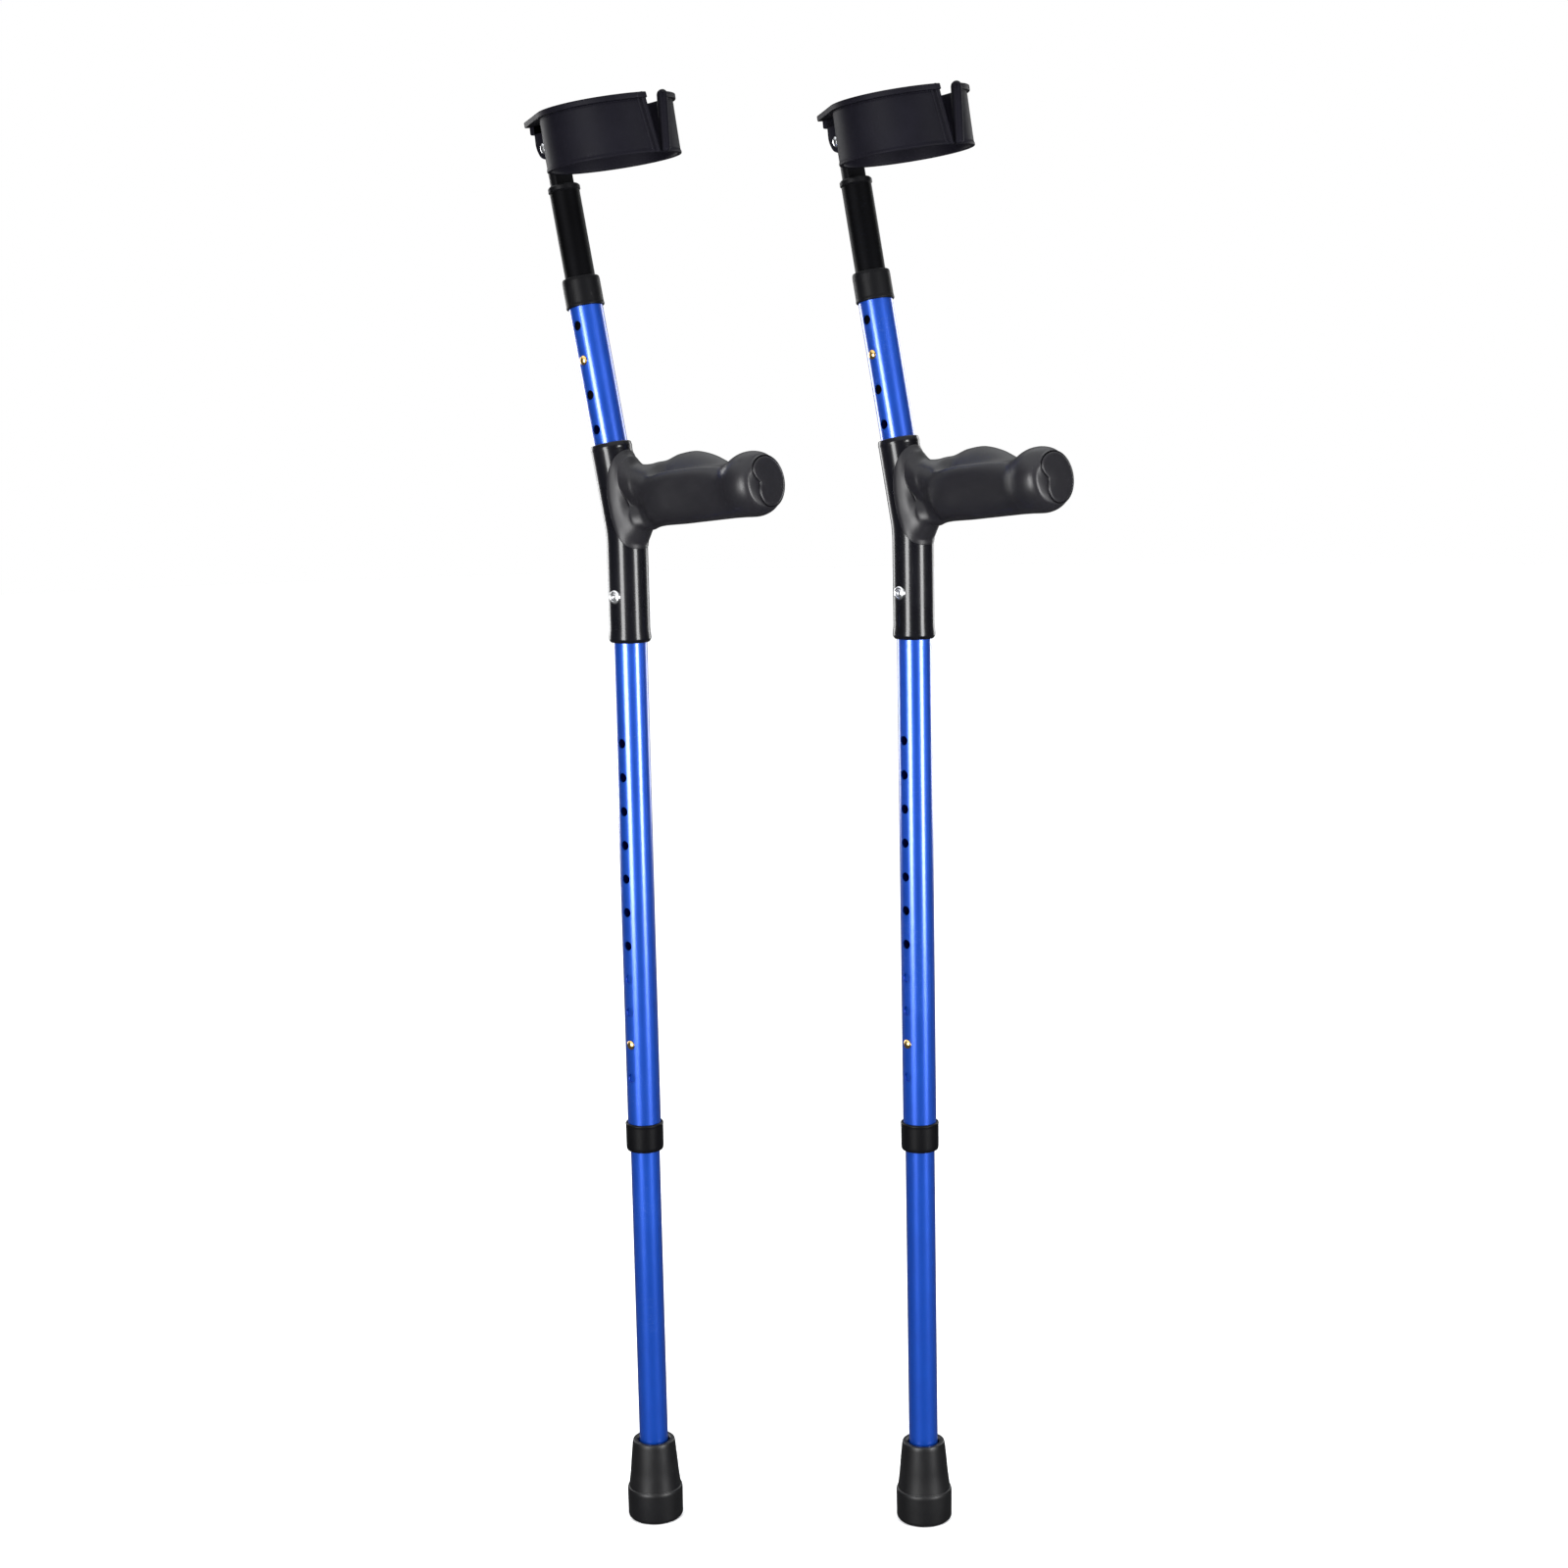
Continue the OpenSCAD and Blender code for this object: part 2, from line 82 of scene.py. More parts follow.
@dataclass(frozen=True)
class Place:
    """A right-handed frame inside the row frame: an origin in metres and three unit columns."""

    origin: np.ndarray
    axes: np.ndarray

    def moved(self, x: float = 0.0, y: float = 0.0, z: float = 0.0) -> "Place":
        """The same frame, moved along its own axes by millimetres."""
        return Place(self.origin + self.axes @ np.array([x, y, z]) * MM, self.axes)

    def turned(self, axis: Axis, degrees: float) -> "Place":
        """The frame turned about one of its own axes.

        Args:
            axis: the axis to turn about.
            degrees: the angle, positive by the right hand.

        Returns:
            The turned frame.
        """
        turn = Matrix.Rotation(math.radians(degrees), 3, axis.name)
        return Place(self.origin, self.axes @ np.array(turn))

    def put(self, points: np.ndarray) -> np.ndarray:
        """Points given in millimetres in this frame, in metres in the row frame."""
        return self.origin + (points * MM) @ self.axes.T


def joint_named(name: str) -> dict[str, Any]:
    """The record's entry of one joint."""
    return next(joint for joint in frame["joints"] if joint["name"] == name)


def mount_named(name: str) -> dict[str, Any]:
    """The record's entry of one mount."""
    return next(mount for mount in frame["record"]["mounts"] if mount["name"] == name)


def stand_of(side: Side) -> Place:
    """The frame of one crutch: origin at the centre of its foot, +Z up, +X along its grip."""
    across = np.array(joint_named(f"{side.value}_leg_button_press")["axis"])
    up = np.array([0.0, 0.0, 1.0])
    forward = np.cross(across, up)
    origin = np.array(mount_named(f"{side.value}_tip_foot")["pos_m"])
    return Place(origin, np.column_stack([forward, across, up]))


# ---------------------------------------------------------------- surfaces


@dataclass
class Shell:
    """Vertices in millimetres and faces of one closed surface."""

    points: np.ndarray
    faces: list[list[int]]

    def placed(self, place: Place) -> "Shell":
        """The shell carried into the row frame, in metres."""
        return Shell(place.put(self.points), self.faces)

    def outward(self) -> "Shell":
        """The shell with its faces turned outwards.

        The sum of a . (b x c), over triangles fanned from each face's first corner, is six times
        the signed volume. A negative volume means that the faces look inwards.
        """
        tris = np.array([[f[0], f[i], f[i + 1]] for f in self.faces for i in range(1, len(f) - 1)])
        a, b, c = (self.points[tris[:, k]] - self.points.mean(0) for k in range(3))
        if np.einsum("ij,ij->i", a, np.cross(b, c)).sum() < 0:
            return Shell(self.points, [face[::-1] for face in self.faces])
        return self


def joined(*shells: Shell) -> Shell:
    """Several shells as one."""
    points, faces, start = [], [], 0
    for shell in shells:
        points.append(shell.points)
        faces += [[i + start for i in face] for face in shell.faces]
        start += len(shell.points)
    return Shell(np.vstack(points), faces)


def grid_shell(net: np.ndarray, ring_u: bool, ring_v: bool, fan: bool = True) -> Shell:
    """A closed shell from a grid of points.

    The faces join point (u, v) to its neighbours at u + 1 and v + 1. A direction that is a ring
    joins its last row to its first. Where u is open, each end row is closed, by triangles that
    meet at the row's mean point or by one flat face.

    Args:
        net: points, shaped (u, v, 3).
        ring_u: whether u closes on itself.
        ring_v: whether v closes on itself.
        fan: whether an end row is closed by triangles, and not by one face.

    Returns:
        The shell, with its faces outwards.
    """
    rows, cols = net.shape[:2]
    index = np.arange(rows * cols).reshape(rows, cols)
    u0 = index if ring_u else index[:-1]
    u1 = np.roll(index, -1, 0) if ring_u else index[1:]
    if ring_v:
        quads = np.stack([u0, u1, np.roll(u1, -1, 1), np.roll(u0, -1, 1)], -1)
    else:
        quads = np.stack([u0[:, :-1], u1[:, :-1], u1[:, 1:], u0[:, 1:]], -1)
    faces = quads.reshape(-1, 4).tolist()
    points = net.reshape(-1, 3)
    if not ring_u and not fan:
        faces += [index[0].tolist(), index[-1][::-1].tolist()]
    if not ring_u and fan:
        middle = len(points)
        points = np.vstack([points, net[0].mean(0), net[-1].mean(0)])
        first, last = index[0], index[-1]
        faces += np.stack([first, np.roll(first, -1), np.full(cols, middle)], 1).tolist()
        faces += np.stack([np.roll(last, -1), last, np.full(cols, middle + 1)], 1).tolist()
    return Shell(points, faces).outward()


def rounded(corners: Sequence[Triple], ring: bool = False, steps: int = 6) -> np.ndarray:
    """An outline whose corners are rounded.

    Each corner is replaced by a quadratic curve that starts on one side and ends on the other, at
    the corner's radius from it, so the curve is tangent to both sides.

    Args:
        corners: (x, y, radius) of each corner.
        ring: whether the outline closes on itself. An open one keeps its ends sharp.
        steps: points on each rounded corner, less one.

    Returns:
        The outline's points, shaped (n, 2).
    """
    spots = np.array([corner[:2] for corner in corners], float)
    t = np.linspace(0, 1, steps + 1)[:, None]
    out = []
    for i, (spot, corner) in enumerate(zip(spots, corners)):
        if corner[2] <= 0 or (not ring and i in (0, len(spots) - 1)):
            out.append(spot[None])
            continue
        back, on = spots[i - 1] - spot, spots[(i + 1) % len(spots)] - spot
        reach = min(corner[2], np.linalg.norm(back) * 0.49, np.linalg.norm(on) * 0.49)
        start = spot + back / np.linalg.norm(back) * reach
        end = spot + on / np.linalg.norm(on) * reach
        out.append((1 - t) ** 2 * start + 2 * t * (1 - t) * spot + t**2 * end)
    return np.vstack(out)


def turned(outline: np.ndarray, steps: int = ROUND_STEPS) -> Shell:
    """A turned piece: the outline (radius, height) carried round Z.

    The point at angle a is (r cos a, r sin a, h). An outline that starts and ends on the axis
    gives a solid; any other is taken as a ring and closes on itself.

    Args:
        outline: (radius, height) points in order.
        steps: points round the axis.

    Returns:
        The turned shell.
    """
    on_axis = bool(outline[0, 0] < 1e-6 and outline[-1, 0] < 1e-6)
    line = outline[1:-1] if on_axis else outline
    angle = np.linspace(0, 2 * np.pi, steps, endpoint=False)
    net = np.stack(
        [
            np.outer(line[:, 0], np.cos(angle)),
            np.outer(line[:, 0], np.sin(angle)),
            np.repeat(line[:, 1:2], steps, 1),
        ],
        -1,
    )
    shell = grid_shell(net, ring_u=not on_axis, ring_v=True)
    if on_axis:
        shell.points[-2] = [0, 0, outline[0, 1]]
        shell.points[-1] = [0, 0, outline[-1, 1]]
    return shell


def along(axis: Axis, shell: Shell) -> Shell:
    """A shell turned about Z, laid so that its axis is along X or Y."""
    x, y, z = shell.points.T
    order = {Axis.X: (z, x, y), Axis.Y: (y, z, x), Axis.Z: (x, y, z)}[axis]
    return Shell(np.stack(order, 1), shell.faces)


def plate(outline: np.ndarray, low: float, high: float, edge: float) -> Shell:
    """A flat plate in the XZ plane from Y = low to Y = high, with rounded edges.

    Each layer is the outline shrunk towards its middle by edge * (1 - sin a), at edge * (1 - cos a)
    in from the face, for a from 0 to 90 degrees.

    Args:
        outline: (x, z) points in order round the plate.
        low: Y of one face.
        high: Y of the other.
        edge: radius of the rounded edges.

    Returns:
        The plate.
    """
    middle = outline.mean(0)
    size = np.abs(outline - middle).max()
    turn = np.linspace(0, np.pi / 2, 5)
    inset, depth = edge * (1 - np.sin(turn)), edge * (1 - np.cos(turn))
    levels = np.concatenate([low + depth, (high - depth)[::-1]])
    shrink = 1 - np.concatenate([inset, inset[::-1]]) / size
    spots = middle + (outline - middle)[None] * shrink[:, None, None]
    net = np.stack([spots[..., 0], np.repeat(levels[:, None], len(outline), 1), spots[..., 1]], -1)
    return grid_shell(net, ring_u=False, ring_v=True)


def spline(controls: np.ndarray, steps: int) -> np.ndarray:
    """A smooth curve through a row of control points, for a whole grid at once.

    Between controls p1 and p2 the Catmull-Rom cubic is used:
    (2 p1 + (p2 - p0) t + (2 p0 - 5 p1 + 4 p2 - p3) t^2 + (3 p1 - p0 - 3 p2 + p3) t^3) / 2.

    Args:
        controls: control points, shaped (n, m, 3); the curve runs along the first index.
        steps: points on each stretch between controls.

    Returns:
        The curve's points, shaped ((n - 1) * steps + 1, m, 3).
    """
    before, after = 2 * controls[:1] - controls[1:2], 2 * controls[-1:] - controls[-2:-1]
    p = np.concatenate([before, controls, after])
    p0, p1, p2, p3 = (p[i : len(p) - 3 + i, None] for i in range(4))
    t = np.linspace(0, 1, steps, endpoint=False)[None, :, None, None]
    curve = (
        2 * p1
        + (p2 - p0) * t
        + (2 * p0 - 5 * p1 + 4 * p2 - p3) * t**2
        + (3 * p1 - p0 - 3 * p2 + p3) * t**3
    ) / 2
    return np.concatenate([curve.reshape(-1, *controls.shape[1:]), controls[-1:]])


def smoothstep(x: np.ndarray, low: float, high: float) -> np.ndarray:
    """0 below low, 1 above high, and the cubic 3 t^2 - 2 t^3 between."""
    t = np.clip((x - low) / (high - low), 0, 1)
    return t * t * (3 - 2 * t)


# ---------------------------------------------------------------- shader maths


class Term:
    """A shader socket that Python's own operators work on."""

    def __init__(self, graph: "Graph", socket: Any) -> None:
        """Wraps a socket of a graph."""
        self.graph = graph
        self.socket = socket

    def _maths(self, operation: str, *values: Any) -> "Term":
        """A Math node of these values, as a term."""
        node = self.graph.node("ShaderNodeMath", {"operation": operation}, dict(enumerate(values)))
        return Term(self.graph, node.outputs[0])

    def __add__(self, other: Any) -> "Term":
        """self + other."""
        return self._maths("ADD", self, other)

    def __radd__(self, other: Any) -> "Term":
        """other + self."""
        return self._maths("ADD", other, self)

    def __sub__(self, other: Any) -> "Term":
        """self - other."""
        return self._maths("SUBTRACT", self, other)

    def __rsub__(self, other: Any) -> "Term":
        """other - self."""
        return self._maths("SUBTRACT", other, self)

    def __mul__(self, other: Any) -> "Term":
        """self * other."""
        return self._maths("MULTIPLY", self, other)

    def __rmul__(self, other: Any) -> "Term":
        """other * self."""
        return self._maths("MULTIPLY", other, self)

    def between(self, low: float, high: float) -> "Term":
        """0 below low, 1 above high, and straight between."""
        settings = {"clamp": True}
        values = {"Value": self, "From Min": low, "From Max": high}
        node = self.graph.node("ShaderNodeMapRange", settings, values)
        return Term(self.graph, node.outputs["Result"])


class Graph:
    """The node tree of a material or a world."""

    def __init__(self, owner: Any) -> None:
        """Empties the owner's node tree."""
        owner.use_nodes = True
        self.tree = owner.node_tree
        self.tree.nodes.clear()

    def node(self, kind: str, settings: dict[str, Any], values: dict[Any, Any]) -> Any:
        """Makes one node.

        Args:
            kind: the node's type.
            settings: its properties, set before its sockets.
            values: numbers, colours, sockets or terms for its inputs, by name or index.

        Returns:
            The node.
        """
        made = self.tree.nodes.new(kind)
        for name, setting in settings.items():
            setattr(made, name, setting)
        for name, value in values.items():
            socket = made.inputs[name]
            if isinstance(value, Term):
                self.tree.links.new(value.socket, socket)
            elif isinstance(value, bpy.types.NodeSocket):
                self.tree.links.new(value, socket)
            elif isinstance(value, tuple) and len(value) == 3 and socket.type == "RGBA":
                socket.default_value = (*value, 1.0)
            else:
                socket.default_value = value
        return made


class MaterialGraph(Graph):
    """The node tree of one new material with a Principled surface."""

    def __init__(self, name: str) -> None:
        """Makes the material, its surface and its coordinates."""
        self.material = bpy.data.materials.new(name)
        super().__init__(self.material)
        self.surface = self.node("ShaderNodeBsdfPrincipled", {}, {})
        self.node("ShaderNodeOutputMaterial", {}, {"Surface": self.surface.outputs[0]})
        self.place = self.node("ShaderNodeTexCoord", {}, {}).outputs["Object"]

    def stretched(self, scale: Triple, tilt: float) -> Any:
        """Object coordinates turned about Y by tilt degrees, then scaled."""
        turned_by = (0.0, math.radians(tilt), 0.0)
        turn = self.node("ShaderNodeMapping", {}, {"Vector": self.place, "Rotation": turned_by})
        scaled = {"Vector": turn.outputs[0], "Scale": scale}
        return self.node("ShaderNodeMapping", {}, scaled).outputs[0]

    def noise(self, scale: float, detail: float = 3.0, rough: float = 0.55, at: Any = None) -> Term:
        """A noise pattern.

        Args:
            scale: patches to the metre.
            detail: octaves.
            rough: strength of the fine octaves.
            at: coordinates, or the object's own.

        Returns:
            The noise, from 0 to 1 about 0.5.
        """
        values = {"Vector": at or self.place, "Scale": scale, "Detail": detail, "Roughness": rough}
        return Term(self, self.node("ShaderNodeTexNoise", {}, values).outputs[0])

    def specks(self, scale: float, size: float) -> Term:
        """Small round specks: 1 inside a speck, 0 outside."""
        cell = self.node("ShaderNodeTexVoronoi", {}, {"Vector": self.place, "Scale": scale})
        return 1.0 - Term(self, cell.outputs["Distance"]).between(size * 0.4, size)

    def scratches(self, scale: Triple, width: float, tilt: float = 0.0) -> Term:
        """Thin lines along the middle level of a stretched noise: 1 on a line, 0 off it."""
        field = self.noise(1.0, 2.0, 0.5, self.stretched(scale, tilt))
        off = field - 0.5
        return 1.0 - (off * off).between(0.0, width * width)

    def mixed(self, mask: Any, low: Any, high: Any) -> Any:
        """A colour that is low where the mask is 0 and high where it is 1.

        A Mix node on colours has its factor at input 0, its colours at inputs 6 and 7, and its
        result at output 2.
        """
        settings = {"data_type": "RGBA"}
        node = self.node("ShaderNodeMix", settings, {0: mask, 6: low, 7: high})
        return node.outputs[2]

    def bumped(self, height: Term, depth: float, strength: float) -> None:
        """Feeds the surface's Normal from a height.

        Args:
            height: the height, 0 to 1.
            depth: metres that 1 stands for.
            strength: how much of it shows.
        """
        values = {"Height": height, "Distance": depth, "Strength": strength}
        bump = self.node("ShaderNodeBump", {}, values)
        self.tree.links.new(bump.outputs[0], self.surface.inputs["Normal"])

    def finish(self, **values: Any) -> bpy.types.Material:
        """Sets the surface's sockets, words joined by underscores, and returns the material."""
        for name, value in values.items():
            socket = self.surface.inputs[name.replace("_", " ")]
            if isinstance(value, (Term, bpy.types.NodeSocket)):
                self.tree.links.new(getattr(value, "socket", value), socket)
            else:
                socket.default_value = (*value, 1.0) if isinstance(value, tuple) else value
        return self.material


# ---------------------------------------------------------------- finishes


@dataclass(frozen=True)
class AnodisedTube:
    """Drawn aluminium tube, anodised: a coloured metal under a thin clear skin."""

    name: str
    colour: Colour
    deep: Colour
    grain_tilt: float = 0.0
    roughness: float = 0.30
    metal: float = 0.65
    coat: float = 1.0
    wear: float = 0.2

    def material(self) -> bpy.types.Material:
        """Lengthwise drawing lines, faint dye patches, fine scuffs and finger haze."""
        g = MaterialGraph(self.name)
        grain = g.noise(1.0, 4.0, 0.6, g.stretched((2600.0, 2600.0, 9.0), self.grain_tilt))
        patches = g.noise(26.0, 4.0, 0.6).between(0.35, 0.7)
        haze = g.noise(9.0, 5.0, 0.65).between(0.46, 0.72)
        handled = g.noise(14.0).between(0.5, 0.62)
        scuffs = g.scratches((130.0, 130.0, 420.0), 0.0035, self.grain_tilt) * handled
        colour = g.mixed(patches * 0.55, self.colour, self.deep)
        worn = g.mixed(scuffs * self.wear, colour, (0.30, 0.42, 0.70))
        g.bumped(grain + scuffs * -0.8, 0.000012, 0.30)
        return g.finish(
            Base_Color=worn,
            Metallic=self.metal,
            Roughness=self.roughness + grain * 0.05 + haze * 0.07 + scuffs * 0.2,
            Coat_Weight=self.coat,
            Coat_Roughness=0.2,
        )


@dataclass(frozen=True)
class Moulding:
    """Moulded plastic: a dark body, fine surface texture, dust and handling marks."""

    name: str
    colour: Colour
    roughness: float
    texture_scale: float
    texture_depth: float
    coat: float = 0.0
    dust: float = 0.06
    shine: float = 0.1

    def material(self) -> bpy.types.Material:
        """Spark texture in the normal, patchy gloss, faint dust and hairline scratches."""
        g = MaterialGraph(self.name)
        texture = g.noise(self.texture_scale, 3.0, 0.6)
        flow = g.noise(22.0, 5.0, 0.6)
        dust = g.specks(900.0, 0.16) * g.noise(40.0).between(0.52, 0.7)
        hairs = g.scratches((170.0, 190.0, 15.0), 0.0016) * g.noise(17.0).between(0.52, 0.66)
        tint = tuple(min(1.0, part * 1.5) for part in self.colour)
        body = g.mixed(flow.between(0.35, 0.7), self.colour, tint)
        dusted = g.mixed(dust * self.dust + hairs * 0.04, body, (0.34, 0.34, 0.36))
        g.bumped(texture + hairs * -0.6, self.texture_depth, 0.5)
        return g.finish(
            Base_Color=dusted,
            Roughness=self.roughness + flow.between(0.3, 0.7) * 0.09 + hairs * 0.15,
            Coat_Weight=self.coat,
            Coat_Roughness=0.16,
            Specular_IOR_Level=self.shine,
        )


@dataclass(frozen=True)
class SoftTouch:
    """Soft moulded rubber of the hand grip and the tip."""

    name: str
    colour: Colour
    worn: Colour
    roughness: float
    stipple: float

    def material(self) -> bpy.types.Material:
        """Fine stipple, palm polish in broad patches, lint and a dull bloom."""
        g = MaterialGraph(self.name)
        stipple = g.noise(self.stipple, 2.0, 0.5)
        pores = g.specks(self.stipple * 0.8, 0.3)
        palm = g.noise(18.0, 4.0, 0.55).between(0.42, 0.66)
        bloom = g.noise(60.0, 5.0, 0.7).between(0.45, 0.8)
        lint = g.specks(420.0, 0.11) * g.noise(33.0).between(0.5, 0.6)
        body = g.mixed(palm * 0.6 + bloom * 0.3, self.colour, self.worn)
        g.bumped(stipple * 0.8 - pores * 0.35, 0.00005, 0.45)
        return g.finish(
            Base_Color=g.mixed(lint * 0.12, body, (0.4, 0.4, 0.42)),
            Roughness=self.roughness - palm * 0.10 + bloom * 0.06,
            Specular_IOR_Level=0.3,
        )


@dataclass(frozen=True)
class BrightMetal:
    """Plated steel or polished brass of the small fittings."""

    name: str
    colour: Colour
    tarnish: Colour
    roughness: float

    def material(self) -> bpy.types.Material:
        """Fine polishing marks, tarnish in patches and tiny dents."""
        g = MaterialGraph(self.name)
        marks = g.noise(2400.0, 3.0, 0.6)
        patches = g.noise(240.0, 4.0, 0.6).between(0.45, 0.75)
        dents = g.specks(700.0, 0.2)
        g.bumped(marks * 0.4 - dents * 0.6, 0.00002, 0.4)
        return g.finish(
            Base_Color=g.mixed(patches * 0.7, self.colour, self.tarnish),
            Metallic=1.0,
            Roughness=self.roughness + patches * 0.18 + marks * 0.05,
        )


@dataclass(frozen=True)
class StudioPaint:
    """Matt white paint of the studio floor."""

    name: str
    colour: Colour

    def material(self) -> bpy.types.Material:
        """Near-white with a trace of roller texture."""
        g = MaterialGraph(self.name)
        roller = g.noise(55.0, 4.0, 0.6)
        g.bumped(roller, 0.0002, 0.05)
        return g.finish(Base_Color=self.colour, Roughness=0.85 + roller * 0.1, Specular_IOR_Level=0.1)


class Finishes:
    """Every finish of the pair, made once."""

    def __init__(self) -> None:
        """Makes the materials."""
        blue, deep = (0.0004, 0.050, 0.36), (0.0003, 0.040, 0.31)
        self.blue_tube = AnodisedTube("blue_anodised_tube", blue, deep).material()
        self.blue_upper = AnodisedTube("blue_anodised_leaning_tube", blue, deep, 12.0).material()
        self.stem_tube = AnodisedTube(
            "black_anodised_stem",
            colour=(0.004, 0.004, 0.0045),
            deep=(0.003, 0.003, 0.0033),
            grain_tilt=12.0,
            roughness=0.55,
            metal=1.0,
            coat=0.0,
            wear=0.02,
        ).material()
        self.hub = Moulding(
            "gloss_black_hub",
            colour=(0.002, 0.002, 0.003),
            roughness=0.24,
            texture_scale=500.0,
            texture_depth=0.000002,
            coat=0.30,
            dust=0.02,
        ).material()
        self.collar = Moulding(
            "satin_black_collar",
            colour=(0.0012, 0.0012, 0.0016),
            roughness=0.4,
            texture_scale=1500.0,
            texture_depth=0.00002,
        ).material()
        self.cuff = Moulding(
            "satin_black_cuff",
            colour=(0.0028, 0.0026, 0.0044),
            roughness=0.5,
            texture_scale=1700.0,
            texture_depth=0.00003,
            shine=0.05,
        ).material()
        self.grip = SoftTouch(
            "soft_grip",
            colour=(0.0055, 0.0052, 0.0068),
            worn=(0.0080, 0.0076, 0.0096),
            roughness=0.42,
            stipple=2600.0,
        ).material()
        self.tip = SoftTouch(
            "tip_rubber",
            colour=(0.0016, 0.0016, 0.002),
            worn=(0.0032, 0.0032, 0.004),
            roughness=0.46,
            stipple=1800.0,
        ).material()
        brass, brown = (0.86, 0.56, 0.20), (0.60, 0.34, 0.10)
        self.brass = BrightMetal("button_brass", brass, brown, 0.16).material()
        bright, grey = (0.80, 0.81, 0.83), (0.55, 0.55, 0.56)
        self.steel = BrightMetal("plated_steel", bright, grey, 0.20).material()
        self.floor = StudioPaint("studio_floor_paint", (0.86, 0.86, 0.86)).material()


# ---------------------------------------------------------------- pieces


def make_piece(
    name: str, shell: Shell, finish: bpy.types.Material, sharp: float = SHARP_ANGLE
) -> bpy.types.Object:
    """Puts a shell into a new object.

    Args:
        name: the piece's name.
        shell: its surface, in metres in the row frame.
        finish: its material.
        sharp: degrees past which an edge stays sharp.

    Returns:
        The object, at the origin, with its place in its mesh.
    """
    mesh = bpy.data.meshes.new(name)
    mesh.from_pydata(shell.points.tolist(), [], shell.faces)
    mesh.polygons.foreach_set("use_smooth", np.ones(len(mesh.polygons), bool))
    mesh.update()
    mesh.set_sharp_from_angle(angle=math.radians(sharp))
    mesh.materials.append(finish)
    piece = bpy.data.objects.new(name, mesh)
    bpy.context.scene.collection.objects.link(piece)
    return piece


def dress(node: str, finish: bpy.types.Material) -> None:
    """Gives a CAD node its finish."""
    mesh = frame["nodes"][node].data
    mesh.materials.clear()
    mesh.materials.append(finish)


@dataclass
class Body:
    """The named frames of one crutch, in millimetres from the middle of its foot."""

    stand: Place
    bend: float = 760.8
    lean: float = 12.0
    grip_height: float = 781.0
    grip_rise: float = 8.0
    pivot_back: float = -1.0
    pivot_along: float = 283.0
    cuff_lean: float = 5.8
    ring_forward: float = 56.6
    ring_foot: float = -19.9
    ring_cant: float = 4.2

    @property
    def upper(self) -> Place:
        """The leaning upper section: origin at the bend, +Z up the tube."""
        return self.stand.moved(z=self.bend).turned(Axis.Y, -self.lean)

    @property
    def grip(self) -> Place:
        """The hand grip: +X along its axis."""
        return self.stand.moved(z=self.grip_height).turned(Axis.Y, -self.grip_rise)

    @property
    def bracket(self) -> Place:
        """The cuff's bracket: origin on the pivot."""
        return self.upper.moved(x=self.pivot_back, z=self.pivot_along).turned(Axis.Y, self.cuff_lean)

    @property
    def ring(self) -> Place:
        """The cuff's band: origin at the middle of its foot."""
        return self.bracket.moved(x=self.ring_forward, z=self.ring_foot).turned(Axis.X, self.ring_cant)


@dataclass
class Part:
    """A sub-assembly of one crutch."""

    side: Side
    body: Body
    finishes: Finishes

    def add(
        self,
        piece: str,
        shell: Shell,
        finish: bpy.types.Material,
        rides: str,
        material_slot: str,
        stands_for: Sequence[str] = (),
        sharp: float = SHARP_ANGLE,
    ) -> None:
        """Makes one piece, rides it on a body and hides the CAD nodes it stands for.

        Args:
            piece: the piece's name, without its side.
            shell: its surface, in metres.
            finish: its material.
            rides: the CAD body it rides on, without its side.
            material_slot: the record's material slot; not used.
            stands_for: the CAD nodes that it replaces, without their side.
            sharp: degrees past which an edge stays sharp.
        """
        made = make_piece(f"{self.side.value}_{piece}", shell, finish, sharp)
        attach(made, f"{self.side.value}_{rides}")
        if stands_for:
            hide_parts(*[f"{self.side.value}_{node}" for node in stands_for])
        LOG.info("%s_%s: %d faces", self.side.value, piece, len(made.data.polygons))

    def dress(self, nodes: Sequence[str], finish: bpy.types.Material) -> None:
        """Gives several CAD nodes of this crutch one finish."""
        for node in nodes:
            dress(f"{self.side.value}_{node}", finish)


# ---------------------------------------------------------------- tip and tubes


